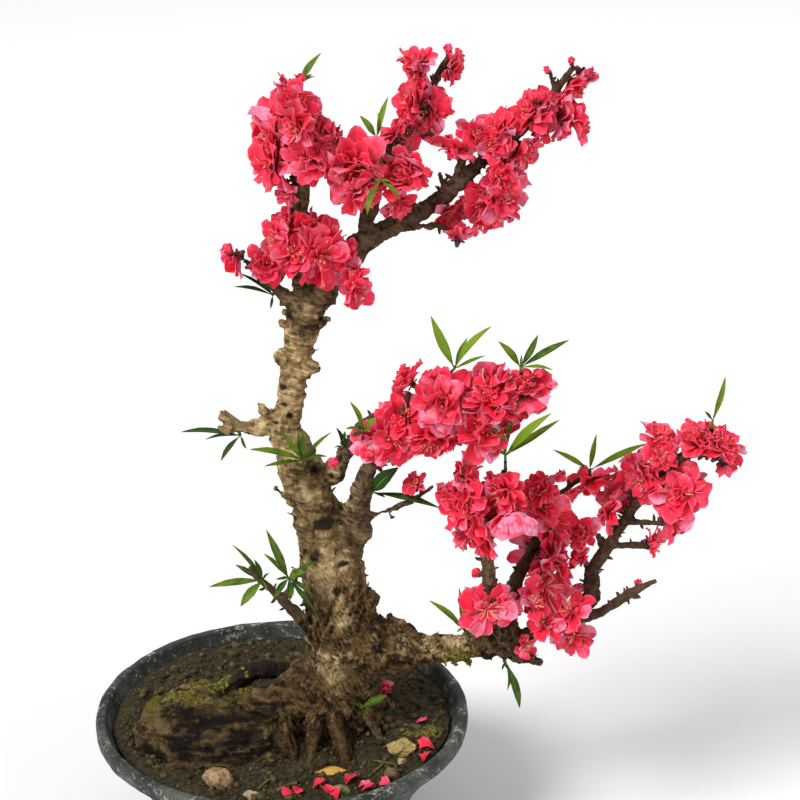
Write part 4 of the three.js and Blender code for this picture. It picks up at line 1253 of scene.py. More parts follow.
def spray_mesh(name, blossoms, look, seed, loose=False, bowl=False):
    """One mesh of blossoms, each given by its middle, axis and width; the first may be a bowl."""
    whole, forms = blossom_forms(look.stamens)
    draw = random.Random(seed)
    shape = bmesh.new()
    tints = []
    for k, (middle, axis, width) in enumerate(blossoms):
        places, tint = blossom_places(forms, width, draw, look, loose, bowl and k == 0)
        turn = np.array(turned_to(axis, draw.uniform(0, 6)))
        seat = np.array(middle - axis * CUP_DEPTH * width)
        add_copy(shape, whole, places @ turn.T + seat)
        tints.append(tint)
    return tinted(shape, name, tints)


def flower_axis(tree, middle, draw):
    """Which way a blossom opens: away from the wood behind it."""
    away = (middle - tree.closest_point_on_mesh(middle)[1]).normalized()
    return (away + stray(draw) * 0.55 + Vector((0, -0.12, 0.12))).normalized()


# Leaves


def leaf_places(form, foot, tip, half, facing, arch, fold, wave, thickness=LEAF_THICKNESS):
    """Places of a leaf's points on an arched run from its foot to its tip."""
    span = tip - foot
    middle = foot.lerp(tip, 0.5) + facing * arch * span.length
    run = form[:, 1][:, None]
    foot, middle, tip = (np.array(point) for point in (foot, middle, tip))
    middles = (1 - run) ** 2 * foot + 2 * run * (1 - run) * middle + run**2 * tip
    along = 2 * (1 - run) * (middle - foot) + 2 * run * (tip - middle)
    along /= np.linalg.norm(along, axis=1, keepdims=True)
    side = np.cross(along, np.array(facing))
    side /= np.linalg.norm(side, axis=1, keepdims=True)
    across, run = form[:, 0], form[:, 1]
    knots = [0, 0.1, 0.24, 0.45, 0.7, 0.9, 1]
    outline = np.interp(run, knots, [0.14, 0.16, 0.55, 1, 0.82, 0.34, 0.03])
    waves = wave * np.sin(9 * run + 1.2 * across) * across
    lifts = half * outline * (fold * np.abs(across) + waves)
    return laid(form, middles, side, along, half * outline, lifts, thickness)


def leaf_material(look, name="peach_leaf", dry=False):
    """Folded young leaves with a pale middle rib and slanting veins."""
    leaf = Graph(name)
    chart = leaf.node("ShaderNodeUVMap", {"uv_map": "UVMap"})
    across, run, _ = leaf.axes(chart)
    tint = leaf.number("tint")
    off = (across - 0.5).math("ABSOLUTE")
    veins = ((run * 26 - off * 14) * 2 * math.pi).math("SINE")
    rib = 1 - off.between(0.01, 0.06)
    mottle = leaf.noise(160, 3)
    fresh, deep = (np.array(colour) for colour in (look.fresh, look.deep))
    if dry:
        fresh, deep = np.array((0.62, 0.36, 0.07)), np.array((0.30, 0.14, 0.03))
    colour = leaf.painted(
        deep,
        (fresh, (tint + mottle - 0.5).between(0.05, 0.95)),
        (fresh * (1.7, 1.25, 1.2), run.between(0.55, 1.0) * tint * 0.55),
        (deep * 0.8, veins.between(0.5, 1.0) * 0.28),
        (fresh * (1.5, 1.3, 2.2), rib * 0.45),
    )
    height = veins * 0.25 + rib + mottle * 0.6
    return leaf.finish(
        colour, 0.42 + mottle * 0.14, height, 0.22 * MM,
        Subsurface_Weight=0.15, Subsurface_Scale=1.2 * MM, Subsurface_Radius=(0.8, 1.0, 0.25),
        Specular_IOR_Level=0.3,
    )


# Pot, soil, stones and moss

# The pot's outline, radius and height in millimetres: from its flat base up, over the rim and
# down inside.
POT_OUTSIDE = [
    (64, 0), (88.6, 0), (90.6, 0.5), (91.7, 1.8), (92.6, 6), (94.6, 18), (97.7, 31), (101.5, 45),
    (107.2, 57), (114.4, 68), (121.6, 77.6), (129, 87), (133.4, 92.6), (134.6, 95.4), (135.4, 96.7),
    (137.6, 97.1), (140.2, 97.5), (141.4, 98.7), (141.9, 101), (142, 105.6), (141.3, 108.4),
    (139.8, 109.7), (138, 110), (136, 109.9), (134.6, 109.2), (133.7, 107.6), (132.6, 105),
    (129.4, 99.6), (124, 92), (116.4, 81.8), (109, 72), (101.6, 60.8), (95.5, 49), (91.4, 36),
    (88.2, 24), (85.6, 12), (84.6, 8.4), (82.6, 7.2), (64, 7),
]
POT_FLOOR = 7
POT_STEPS, SOIL_STEPS, SOIL_RINGS = 192, 232, 62
# A steeper edge than this stays sharp.
SHARPEST_TURN = math.radians(40)
DRAIN_CIRCLE, DRAIN_RADIUS, DRAIN_COUNT, DRAIN_SIDES = 45, 6, 3, 28
# The soil's top and the low mound round the trunk, in millimetres, and its outline inside the pot.
SOIL_LEVEL, SOIL_HUMP, SOIL_HUMP_RADIUS, SOIL_RADIUS = 102, 6, 55, 128.4
SOIL_WALL = [(123, 91.4), (108.2, 72), (94.7, 49), (83.6, 9.2), (80, 9), (40, 9), (0, 9)]
# How far out crumbs lie.
CRUMB_REACH = 124


def spun(points, steps):
    """A bmesh turned about Z from points [radius, height] in millimetres."""
    shape = bmesh.new()
    verts = [shape.verts.new((radius * MM, 0, z * MM)) for radius, z in points]
    edges = [shape.edges.new(pair) for pair in zip(verts, verts[1:])]
    bmesh.ops.spin(
        shape, geom=verts + edges, axis=(0, 0, 1), cent=(0, 0, 0), angle=2 * math.pi, steps=steps,
        use_merge=True,
    )
    bmesh.ops.remove_doubles(shape, verts=shape.verts, dist=0.01 * MM)
    return shape


def drain_centres():
    """Where the pot's drainage holes are."""
    turns = [2 * math.pi * (i + 0.5) / DRAIN_COUNT for i in range(DRAIN_COUNT)]
    return [Vector((math.cos(t), math.sin(t), 0)) * DRAIN_CIRCLE * MM for t in turns]


def pot_mesh():
    """The whole pot: a turned bowl whose floor has drainage holes."""
    shape = spun(POT_OUTSIDE, POT_STEPS)
    holes = []
    for level in (0, POT_FLOOR * MM):
        open_edges = [edge for edge in shape.edges if edge.is_boundary]
        rim = [edge for edge in open_edges if abs(edge.verts[0].co.z - level) < 0.1 * MM]
        for k, centre in enumerate(drain_centres()):
            place = Matrix.Translation(centre + Vector((0, 0, level)))
            ring = bmesh.ops.create_circle(
                shape, segments=DRAIN_SIDES, radius=DRAIN_RADIUS * MM, matrix=place
            )
            edges = list({edge for vert in ring["verts"] for edge in vert.link_edges})
            holes.append((k, edges))
            rim += edges
        bmesh.ops.triangle_fill(shape, use_beauty=True, use_dissolve=False, edges=rim)
    for k in range(DRAIN_COUNT):
        walls = [edge for hole, edges in holes if hole == k for edge in edges]
        bmesh.ops.bridge_loops(shape, edges=walls)
    bmesh.ops.recalc_face_normals(shape, faces=shape.faces)
    for edge in shape.edges:
        edge.smooth = not (len(edge.link_faces) == 2 and edge.calc_face_angle() > SHARPEST_TURN)
    mesh = smooth(as_mesh(shape, "pot"))
    places, facing = coordinates(mesh), normals_of(mesh)
    rough = 0.30 * noise(places, 16 * MM, 40) + 0.16 * noise(places, 5 * MM, 41)
    worn = ramp(places[:, 2], 8 * MM, 14 * MM)
    set_coordinates(mesh, places + facing * ((rough - 0.1) * worn * MM)[:, None])
    return mesh


def pot_material(look):
    """Dark slate-green fired clay with pale mineral streaks, scratches and worn edges."""
    pot = Graph("slate_clay")
    cloud, flecks = pot.noise(38, 3), pot.noise(420, 3, 0.75)
    scratches = pot.noise(240, 3, 0.6, stretch=(4, 4, 0.45))
    streaks = pot.noise(150, 4, 0.75, stretch=(2.2, 2.2, 0.7), turn=(0.5, 0.3, 0))
    grit = pot.noise(1500, 2, 0.6)
    glaze = np.array(look.glaze)
    rim = pot.axes(pot.places())[2].between(0.094, 0.104)
    dust = (streaks * 0.7 + flecks * 0.45).between(0.60, 0.74) * (rim * 0.7 + 0.2)
    colour = pot.painted(
        glaze * 0.45,
        (glaze * 1.7, cloud.between(0.3, 0.7)),
        (glaze * 0.28, scratches.between(0.52, 0.7) * 0.7),
        ((0.40, 0.40, 0.34), dust),
        ((0.26, 0.24, 0.18), cloud.between(0.56, 0.7) * grit.between(0.45, 0.6) * 0.35),
    )
    return pot.finish(
        colour, 0.66 - cloud * 0.2 + dust * 0.2, flecks + grit * 0.4 - scratches * 0.5, 0.6 * MM,
        Specular_IOR_Level=0.3,
    )


def soil_height(places):
    """The soil's height in millimetres at places in metres, without its crumbs."""
    x, y = places[:, 0] / MM, places[:, 1] / MM
    away = np.hypot(x - TRUNK_FOOT[0], y - TRUNK_FOOT[1]) / SOIL_HUMP_RADIUS
    waves = 1.2 * np.sin(x / 17) * np.cos((x + 2 * y) / 17)
    return SOIL_LEVEL + SOIL_HUMP * np.exp(-(away**2)) + waves


def soil_mesh():
    """The soil's whole body, with a crumbly top that dips a little at the pot's wall."""
    top = [(share * SOIL_RADIUS, SOIL_LEVEL) for share in np.linspace(0, 1, SOIL_RINGS)]
    shape = spun(top + SOIL_WALL, SOIL_STEPS)
    bmesh.ops.recalc_face_normals(shape, faces=shape.faces)
    mesh = smooth(as_mesh(shape, "soil"))
    places = coordinates(mesh)
    is_top = places[:, 2] > (SOIL_LEVEL - 1) * MM
    flat = places * (1, 1, 0)
    crumbs = 1.5 * noise(flat, 15 * MM, 50) + noise(flat, 7 * MM, 51)
    crumbs += 0.9 * abs(noise(flat, 3.4 * MM, 52))
    rim = ramp(np.hypot(places[:, 0], places[:, 1]), 118 * MM, SOIL_RADIUS * MM)
    height = soil_height(places) + crumbs * (1 - 0.5 * rim) - 1.8 * rim
    places[is_top, 2] = height[is_top] * MM
    set_coordinates(mesh, places)
    return mesh


def soil_material(look):
    """Dark damp soil with paler grains."""
    soil = Graph("damp_soil")
    cloud, grains, grit = soil.noise(60, 3), soil.noise(330, 3, 0.7), soil.noise(1100, 2)
    earth = np.array(look.soil)
    colour = soil.painted(
        earth * 0.35,
        (earth * 1.5, grains.between(0.36, 0.66)),
        (earth * (2.4, 2.6, 2.3), cloud.between(0.5, 0.7) * grit.between(0.45, 0.65) * 0.7),
        ((0.05, 0.065, 0.012), cloud.between(0.58, 0.72) * 0.5),
    )
    roughness = 0.93 - grains * 0.15
    return soil.finish(colour, roughness, grains + grit * 0.4, 1.4 * MM, Specular_IOR_Level=0.25)


def crumb_material(look):
    """Loose grains, each of its own brown."""
    crumb = Graph("soil_crumb")
    tint, grain = crumb.number("tint"), crumb.noise(900, 2)
    earth = np.array(look.soil)
    colour = crumb.painted(
        earth * 0.6,
        (earth * (3.4, 3.3, 3.0), tint),
        ((0.11, 0.10, 0.025), (tint * 7).math("FRACT").between(0.7, 0.9) * 0.7),
        (earth * 0.5, grain.between(0.5, 0.7) * 0.6),
    )
    return crumb.finish(colour, 0.9, grain, 0.4 * MM, Specular_IOR_Level=0.25)


def pebble_form(subdivisions):
    """A unit ball to shape crumbs, clumps and stones from."""
    shape = bmesh.new()
    bmesh.ops.create_icosphere(shape, subdivisions=subdivisions, radius=1)
    return smooth(as_mesh(shape, "pebble"))


def stone_mesh(name, middle, half, seed, flats):
    """A stone: a ball cut flat in places, then roughened."""
    mesh = pebble_form(5)
    places = coordinates(mesh)
    draw = np.random.default_rng(seed)
    for _ in range(flats):
        facing = draw.normal(size=3)
        facing /= np.linalg.norm(facing)
        depth = draw.uniform(0.62, 0.9)
        over = np.clip(places @ facing - depth, 0, None)
        places = places - 0.92 * over[:, None] * facing
    places = places * np.array(half) / np.abs(places).max(axis=0) * MM
    facing = places / np.linalg.norm(places, axis=1, keepdims=True)
    rough = 0.45 * noise(places, 3.6 * MM, seed) + 0.2 * noise(places, 1.3 * MM, seed + 1) - 0.3
    places += facing * (rough * MM)[:, None]
    mesh.name = name
    set_coordinates(mesh, places + np.array(middle) * MM)
    return mesh


def stone_material(name, colour):
    """Weathered stone, stained in its hollows."""
    stone = Graph(name)
    cloud, grain, pits = stone.noise(120, 4, 0.6), stone.noise(800, 3, 0.6), stone.noise(340, 2)
    colour, roughness = np.array(colour), 0.85 - cloud * 0.15
    colour = stone.painted(
        colour * 0.6,
        (colour * 1.3, cloud.between(0.3, 0.7)),
        (STONE_STAIN, pits.between(0.52, 0.7) * 0.8),
        (colour * 1.7, grain.between(0.6, 0.75) * 0.5),
    )
    return stone.finish(colour, roughness, grain * 0.7 - pits, 0.5 * MM, Specular_IOR_Level=0.3)


def moss_material(look):
    """Olive moss, yellower at the tips of its clumps."""
    moss = Graph("olive_moss")
    tint, tuft, cloud = moss.number("tint"), moss.noise(1400, 2, 0.7), moss.noise(150, 2)
    green = np.array(look.moss)
    colour = moss.painted(
        green * (0.28, 0.4, 0.3),
        (green * (1.7, 1.55, 1.2), (tint + tuft - 0.5).between(0.0, 1.0)),
        (green * (0.3, 0.28, 0.4), cloud.between(0.52, 0.7) * 0.7),
    )
    return moss.finish(colour, 0.95, tuft, 0.8 * MM, Sheen_Weight=0.05, Specular_IOR_Level=0.15)


def clumps_mesh(name, spots, seed):
    """Small lumps on a surface, each given by its place, its facing and its half sizes."""
    form = pebble_form(1)
    ball = coordinates(form)
    draw = np.random.default_rng(seed)
    shape = bmesh.new()
    for place, facing, size in spots:
        turn = np.array(turned_to(facing, draw.uniform(0, 6)))
        lump = ball * draw.uniform(0.72, 1.25, size=(len(ball), 1)) * size
        add_copy(shape, form, lump @ turn.T + np.array(place))
    return tinted(shape, name, [np.repeat(draw.uniform(0, 1, len(spots)), len(ball))])


def dropped(piece, x, y, high=0.7):
    """Where a point straight down from above meets a piece, and the facing there."""
    hit, place, facing, _ = piece.ray_cast(Vector((x, y, high)), Vector((0, 0, -1)))
    return (place, facing) if hit else None


def screen_material():
    """Moulded dark plastic, dusty with earth."""
    screen = Graph("dusty_screen")
    dust, grain = screen.noise(120, 3), screen.noise(900, 2)
    earthy = dust.between(0.45, 0.7) * 0.7
    colour = screen.mix((0.012, 0.013, 0.012), (0.09, 0.065, 0.04), earthy)
    return screen.finish(colour, 0.6 + dust * 0.3, grain, 0.15 * MM)


# Operators


def flower_finishes(scene):
    """The four finishes of a flower, in the order of their numbers."""
    made = [bpy.data.materials.get(name) for name in FLOWER_FINISHES]
    return made if all(made) else blossom_materials(scene.bonsai_blossoms)


class BONSAI_OT_pot(bpy.types.Operator):
    """Make the pot, the soil and its crumbs, and finish the drainage screen"""

    bl_idname = "bonsai.pot"
    bl_label = "Pot and Soil"

    def execute(self, context):
        look = context.scene.bonsai_ground
        add_piece("turned_pot", pot_mesh(), [pot_material(look)], ["pot"])
        ground = add_piece("soil_bed", soil_mesh(), [soil_material(look)], ["soil"])
        context.view_layer.update()
        draw = np.random.default_rng(60)
        spots = []
        while len(spots) < look.crumbs:
            x, y = draw.uniform(-CRUMB_REACH, CRUMB_REACH, 2) * MM
            found = dropped(ground, x, y)
            if math.hypot(x, y) > CRUMB_REACH * MM or found is None:
                continue
            size = draw.uniform(0.9, 1.9) * (1 if draw.uniform() < 0.75 else 2.2)
            half = size * np.array((1, draw.uniform(0.7, 1), draw.uniform(0.5, 0.8))) * MM
            spots.append((found[0] + Vector((0, 0, 0.25 * size * MM)), (0, 0, 1), half))
        add_piece("soil_crumbs", clumps_mesh("crumbs", spots, 61), [crumb_material(look)])
        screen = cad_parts["drainage_screen"]
        screen.data.materials.clear()
        screen.data.materials.append(screen_material())
        return {"FINISHED"}


class BONSAI_OT_bark(bpy.types.Operator):
    """Make the trunk, limbs, twigs and rootstock, with their bark"""

    bl_idname = "bonsai.bark"
    bl_label = "Wood and Bark"

    def execute(self, context):
        look = context.scene.bonsai_bark
        wood = wood_above_roots()
        skin = finished(wood, "REMESH", mode="VOXEL", voxel_size=look.grain_size)
        evened(skin, EVENING_ROUNDS)
        places, facing, girth, along = wood_guides(wood, skin)
        height, numbers = bark_relief(places, facing, girth, along, look.relief)
        places = places + facing * height[:, None]
        set_coordinates(skin, places)
        skin.calc_loop_triangles()
        share = min(1.0, MOST_BARK_FACES / len(skin.loop_triangles))
        mesh = main_body(finished(skin, "DECIMATE", ratio=share))
        kept = nearest(point_tree(places), coordinates(mesh), 1)[0][:, 0]
        for name, parts in numbers.items():
            set_colours(mesh, name, *(part[kept] for part in parts))
        smooth(mesh)
        bark = bark_material(look)
        add_piece("bark", mesh, [bark], ["bonsai_tree"])

        draw, lean = np.random.default_rng(20), random.Random(21)
        x, z = places[:, 0], places[:, 2]
        smooth_stub = (x < 12 * MM) & (z > 300 * MM) & (z < 372 * MM)
        budding = (z > 200 * MM) & (girth < 6 * MM) & (girth > 1.4 * MM) & ~smooth_stub
        thin = draw.permutation(np.flatnonzero(budding))
        thick = draw.permutation(np.flatnonzero((z > 118 * MM) & (girth >= 6 * MM)))
        chosen = np.concatenate([thin[:THIN_STUBS], thick[:THICK_STUBS]])
        stubs = pointed(sprouting(places[chosen], facing[chosen], lean, 4.6 * MM, 0.27))
        plain_wood(stubs, 0.05, 0.4, 0.6)
        add_piece("bud_stubs", stubs, [bark])
        chosen = thin[THIN_STUBS:THIN_STUBS + BUD_SCALES]
        chosen = chosen[(x[chosen] > 40 * MM) | (z[chosen] > 440 * MM)]
        scales = pointed(sprouting(places[chosen], facing[chosen], lean, 5.5 * MM, 0.32))
        add_piece("bud_scales", scales, [flower_finishes(context.scene)[SEPAL]])
        return {"FINISHED"}


class BONSAI_OT_blossoms(bpy.types.Operator):
    """Make the sprays of double blossoms"""

    bl_idname = "bonsai.blossoms"
    bl_label = "Blossoms"

    def execute(self, context):
        look = context.scene.bonsai_blossoms
        tree = bpy.data.objects["bark"]
        finishes = flower_finishes(context.scene)
        context.view_layer.update()
        draw = random.Random(31)
        for seed, (name, flowers) in enumerate(SPRAYS.items(), 100):
            blossoms = []
            for *place, width in flowers:
                middle = Vector(place) * MM
                blossoms.append((middle, flower_axis(tree, middle, draw), width * MM))
            loose, bowl = name in LOOSE_SPRAYS, name == BOWL_SPRAY
            if bowl:
                middle, _, width = blossoms[0]
                blossoms[0] = (middle, Vector(BOWL_AXIS).normalized(), width)
            mesh = spray_mesh(f"spray_{name}", blossoms, look, seed, loose, bowl)
            add_piece(f"spray_{name}", mesh, finishes, [f"blossoms_{name}"])
        return {"FINISHED"}


class BONSAI_OT_buds(bpy.types.Operator):
    """Make the unopened buds, each on a short stalk"""

    bl_idname = "bonsai.buds"
    bl_label = "Buds"

    def execute(self, context):
        look = context.scene.bonsai_blossoms
        tree = bpy.data.objects["bark"]
        petal, sepal = blade_form(3, 4), blade_form(2, 2)
        forms = [coordinates(petal), coordinates(sepal)]
        whole = joined([(petal, PETAL)] * BUD_PETALS + [(sepal, SEPAL)] * SEPALS)
        draw = random.Random(41)
        shape, stalks, tints = bmesh.new(), bmesh.new(), []
        for x, y, z, size in BUDS:
            middle, size = Vector((x, y, z)) * MM, size * MM
            near = tree.closest_point_on_mesh(middle)[1]
            out = middle - near
            middle = near + out * min(1.0, (size + 2 * MM) / out.length)
            axis = (out.normalized() + Vector((0, 0, 0.5))).normalized()
            foot = middle - axis * size * 0.5
            rows = [
                (k * 2.4 + draw.uniform(-0.2, 0.2), size * draw.uniform(1.2, 1.32), size * 0.36,
                 1.12, -1.02, 0.75, 0.04, 0.35, k)
                for k in range(BUD_PETALS)
            ]
            petals = petal_places(forms[0], np.array(rows), look.petal_thickness)
            petals *= np.linspace(1.0, 0.84, BUD_PETALS)[:, None, None]
            rows = [
                (k * 2 * math.pi / SEPALS, size * 0.62, size * 0.24, 1.25, -0.35, 0.6, 0, 0, 0)
                for k in range(SEPALS)
            ]
            sepals = petal_places(forms[1], np.array(rows), SEPAL_THICKNESS) * 1.06
            places = np.concatenate([petals.reshape(-1, 3), sepals.reshape(-1, 3)])
            add_copy(shape, whole, places @ np.array(turned_to(axis, x)).T + np.array(foot))
            tints.append(np.full(len(places), draw.uniform(0, 0.35)))
            middle = near.lerp(foot, 0.5) + axis * -0.08 * size
            line = curved(near - axis * MM, middle, foot + axis * 0.6 * MM, 5)
            add_tube(stalks, line, [radius * MM for radius in BUD_STALK])
        form = smooth(as_mesh(stalks, "stalks"))
        add_form(shape, form, SEPAL)
        tints.append(np.zeros(len(form.vertices)))
        add_piece("buds", tinted(shape, "buds", tints), flower_finishes(context.scene))
        return {"FINISHED"}


class BONSAI_OT_leaves(bpy.types.Operator):
    """Make the shoots of young leaves"""

    bl_idname = "bonsai.leaves"
    bl_label = "Leaves"

    def execute(self, context):
        look = context.scene.bonsai_leaves
        tree = bpy.data.objects["bark"]
        blade = blade_form(4, 10)
        form = coordinates(blade)
        draw = random.Random(51)
        leaf = leaf_material(look)
        for name, (foot, *tips) in SHOOTS.items():
            foot = Vector(foot) * MM
            near = tree.closest_point_on_mesh(foot)[1]
            away = (foot - near).normalized()
            shape, tints = bmesh.new(), []
            leaves = [(Vector(tip) * MM, width * MM) for *tip, width in tips]
            for _ in range(SMALL_LEAVES):
                lean = (stray(draw) + away * 1.2).normalized()
                tip = foot + lean * draw.uniform(7, 12) * MM
                leaves.append((tip, draw.uniform(2.4, 3.4) * MM))
            for tip, width in leaves:
                along = (tip - foot).normalized()
                up = Vector((draw.uniform(-0.5, 0.5), draw.uniform(-1.1, -0.2), 1))
                facing = (up - up.project(along)).normalized()
                arch = draw.uniform(0.05, 0.2)
                places = leaf_places(
                    form, foot, tip, width * 0.36, facing, arch,
                    look.fold * draw.uniform(0.6, 1.4), draw.uniform(0, 0.12),
                )
                add_copy(shape, blade, places)
                # Each leaf's fresh green varies at random, and is lowered as painted shade on
                # shoots in shade.
                fresh = draw.uniform(0.25, 1) * SHADED_SHOOTS.get(name, 1)
                tints.append(np.full(len(form), fresh))
            line = curved(near - away * MM, near.lerp(foot, 0.6), foot + away * 0.5 * MM, 4)
            stalk = bmesh.new()
            add_tube(stalk, line, [radius * MM for radius in SHOOT_STALK], 7)
            stalk = smooth(as_mesh(stalk, "stalk"))
            shape.from_mesh(stalk)
            tints.append(np.full(len(stalk.vertices), 0.4))
            mesh = tinted(shape, f"shoot_{name}", tints)
            add_piece(f"shoot_{name}", mesh, [leaf], [f"leaves_{name}"])
        return {"FINISHED"}


class BONSAI_OT_litter(bpy.types.Operator):
    """Make the petals, leaf, blossom and twigs that lie on the soil"""

    bl_idname = "bonsai.litter"
    bl_label = "Fallen Petals"

    def execute(self, context):
        look = context.scene.bonsai_blossoms
        ground = bpy.data.objects["soil_bed"]
        finishes = flower_finishes(context.scene)
        petal = blade_form(4, 4)
        form = coordinates(petal)
        draw = random.Random(71)
        for name, (spots, stands_for) in FALLEN.items():
            shape, tints = bmesh.new(), []
            for x, y, turn in spots:
                place, _ = dropped(ground, x * MM, y * MM)
                length = draw.uniform(9, 14) * MM
                turn = math.radians(turn)
                last = 1.0 + draw.uniform(0.6, 1.3)
                cup = draw.uniform(0.2, 0.7)
                row = np.array([(turn, length, 0.42 * length, 1.0, last, cup, 0.3, 0.5, turn)])
                along = Vector((math.cos(turn), math.sin(turn), 0))
                foot = np.array(place - along * length * 0.45 + Vector((0, 0, 0.8 * MM)))
                add_copy(shape, petal, petal_places(form, row, look.petal_thickness)[0] + foot)
                tints.append(np.full(len(form), draw.uniform(0.1, 0.9)))
            add_piece(name, tinted(shape, name, tints), finishes, stands_for)

        middle, foot = (Vector(point) * MM for point in FALLEN_BLOSSOM)
        blossom = (middle, (middle - foot).normalized(), FALLEN_WIDTH * MM)
        mesh = spray_mesh("dropped_blossom", [blossom], look, 72)
        add_piece("dropped_blossom", mesh, finishes, ["fallen_blossom"])

        blade = blade_form(4, 10)
        ends = [Vector(point) * MM for point in FALLEN_LEAF]
        up = Vector((0, -0.3, 1))
        places = leaf_places(coordinates(blade), *ends, 4.2 * MM, up, 0.16, -0.3, 0.1, 0.4 * MM)
        set_coordinates(blade, places)
        keep_numbers(blade, "tint", 0.8)
        dry = leaf_material(context.scene.bonsai_leaves, "yellowed_leaf", dry=True)
        add_piece("yellow_leaf", blade, [dry], ["fallen_leaf"])

        shape = bmesh.new()
        for *ends, radius in TWIGS:
            lift = Vector((0, 0, (radius + 0.7) * MM))
            start, end = (dropped(ground, x * MM, y * MM)[0] + lift for x, y in ends)
            bow = Vector((draw.uniform(-2, 2), draw.uniform(-2, 2), 1.5)) * MM
            line = curved(start, start.lerp(end, 0.5) + bow, end, 6)
            add_tube(shape, line, [radius * share * MM for share in (1, 1.1, 0.9, 1, 0.85, 0.5)])
        twigs = smooth(as_mesh(shape, "twigs_on_soil"))
        plain_wood(twigs, 0.45, 0.5, 0.6)
        add_piece("twigs_on_soil", twigs, [bpy.data.materials["peach_bark"]])
        return {"FINISHED"}


class BONSAI_OT_stones(bpy.types.Operator):
    """Make the stones that lie on the soil"""

    bl_idname = "bonsai.stones"
    bl_label = "Stones"

    def execute(self, context):
        for seed, (name, (middle, half, colour)) in enumerate(STONES.items()):
            mesh = stone_mesh(name, middle, half, 80 + 3 * seed, 9 if name == "round" else 15)
            material = stone_material(f"weathered_{name}", colour)
            add_piece(f"pebble_{name}", mesh, [material], [f"stone_{name}"])
        return {"FINISHED"}


class BONSAI_OT_moss(bpy.types.Operator):
    """Make the moss on the rootstock, the soil and the low limb"""

    bl_idname = "bonsai.moss"
    bl_label = "Moss"

    def execute(self, context):
        material = moss_material(context.scene.bonsai_ground)
        draw = np.random.default_rng(90)
        for name, (carrier, count, middle, half, cover) in MOSS_BEDS.items():
            spots = []
            for _ in range(count):
                turn = draw.uniform(0, 2 * math.pi)
                away = math.sqrt(draw.uniform()) * draw.uniform(0.75, 1.05)
                x = (middle[0] + half[0] * away * math.cos(turn)) * MM
                y = (middle[1] + half[1] * away * math.sin(turn)) * MM
                bare = noise([(x, y, 0)], 11 * MM, 91)[0] > cover
                found = None if bare else dropped(bpy.data.objects[carrier], x, y)
                if found and found[1].z > STEEPEST_MOSS and found[0].z < HIGHEST_MOSS * MM:
                    half_sizes = draw.uniform(0.9, 2.1) * MM * np.array((1, 1, 0.6))
                    spots.append((*found, half_sizes))
            mesh = clumps_mesh(f"moss_clumps_{name}", spots, 92)
            add_piece(f"moss_clumps_{name}", mesh, [material], [f"moss_{name}"])
        spots = []
        count, middle, spread = LIMB_MOSS
        for _ in range(count):
            place = Vector(middle) + Vector(draw.normal(size=3) * spread)
            _, place, facing, _ = bpy.data.objects["bark"].closest_point_on_mesh(place * MM)
            if facing.z > -0.25:
                spots.append((place, facing, draw.uniform(0.7, 1.5) * MM * np.array((1, 1, 0.5))))
        mesh = clumps_mesh("moss_clumps_on_limb", spots, 93)
        add_piece("moss_clumps_on_limb", mesh, [material], ["moss_on_limb"])
        return {"FINISHED"}


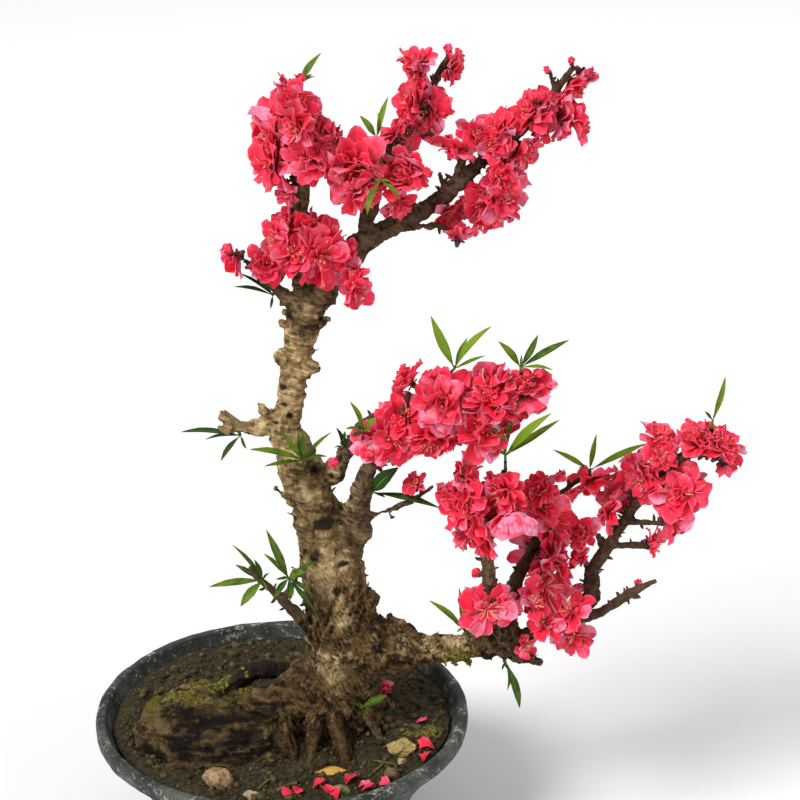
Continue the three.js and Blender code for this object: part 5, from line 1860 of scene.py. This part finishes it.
class BONSAI_OT_stage(bpy.types.Operator):
    """Set the camera, the pale floor and the soft lights"""

    bl_idname = "bonsai.stage"
    bl_label = "Stage"

    def execute(self, context):
        look, scene = context.scene.bonsai_stage, context.scene
        lens = bpy.data.cameras.new("camera")
        lens.lens, lens.sensor_width = look.lens, SENSOR_WIDTH
        lens.clip_start, lens.clip_end = SEEN_FROM, SEEN_TO
        camera = bpy.data.objects.new("camera", lens)
        camera.location = look.place
        camera.rotation_euler = (math.pi / 2 - look.pitch, 0, 0)
        scene.collection.objects.link(camera)
        scene.camera = camera

        shape = bmesh.new()
        bmesh.ops.create_grid(shape, x_segments=1, y_segments=1, size=FLOOR_HALF)
        floor = bpy.data.objects.new("floor", as_mesh(shape, "floor"))
        scene.collection.objects.link(floor)
        paint = Graph("floor_paint")
        shade = np.array(look.floor)
        colour = paint.mix(shade * 0.98, shade, paint.noise(3, 2))
        floor.data.materials.append(paint.finish(colour, 0.9))

        aim = Vector(LIGHTS_AIM)
        for name, kind, place, power in (
            ("key", "SUN", (-1.5, -1.3, 2.4), look.sun),
            ("fill", "AREA", (2.2, -1.8, 1.3), look.lamps),
            ("back", "AREA", (0.6, 2.2, 2.2), look.lamps),
        ):
            light = bpy.data.lights.new(name, kind)
            light.energy = power
            if kind == "SUN":
                light.angle = look.softness
            else:
                light.shape, light.size = "DISK", LAMP_WIDTH
            lamp = bpy.data.objects.new(name, light)
            lamp.location = place
            lamp.rotation_euler = (aim - lamp.location).to_track_quat("-Z", "Y").to_euler()
            scene.collection.objects.link(lamp)
        world = bpy.data.worlds.new("studio")
        world.use_nodes = True
        background = world.node_tree.nodes["Background"].inputs
        background["Color"].default_value = (1, 1, 1, 1)
        background["Strength"].default_value = look.sky
        scene.world = world
        scene.view_settings.view_transform = "Standard"
        return {"FINISHED"}


OPERATORS = (
    BONSAI_OT_pot,
    BONSAI_OT_bark,
    BONSAI_OT_blossoms,
    BONSAI_OT_buds,
    BONSAI_OT_leaves,
    BONSAI_OT_litter,
    BONSAI_OT_stones,
    BONSAI_OT_moss,
    BONSAI_OT_stage,
)
SETTINGS = {
    "bonsai_blossoms": BlossomSettings,
    "bonsai_bark": BarkSettings,
    "bonsai_leaves": LeafSettings,
    "bonsai_ground": GroundSettings,
    "bonsai_stage": StageSettings,
}


class BONSAI_PT_parts(bpy.types.Panel):
    """The bonsai's pieces and their settings"""

    bl_idname = "BONSAI_PT_parts"
    bl_label = "Flowering Peach Bonsai"
    bl_space_type = "VIEW_3D"
    bl_region_type = "UI"
    bl_category = "Bonsai"

    def draw(self, context):
        for operator in OPERATORS:
            self.layout.operator(operator.bl_idname)
        for name, settings in SETTINGS.items():
            box = self.layout.box()
            for key in settings.__annotations__:
                box.prop(getattr(context.scene, name), key)


CLASSES = (*SETTINGS.values(), *OPERATORS, BONSAI_PT_parts)


def register():
    for made in CLASSES:
        bpy.utils.register_class(made)
    for name, settings in SETTINGS.items():
        setattr(bpy.types.Scene, name, PointerProperty(type=settings))


def unregister():
    for name in SETTINGS:
        delattr(bpy.types.Scene, name)
    for made in reversed(CLASSES):
        bpy.utils.unregister_class(made)


def main():
    register()
    for operator in OPERATORS:
        family, name = operator.bl_idname.split(".")
        getattr(getattr(bpy.ops, family), name)()


if __name__ == "__main__":
    main()
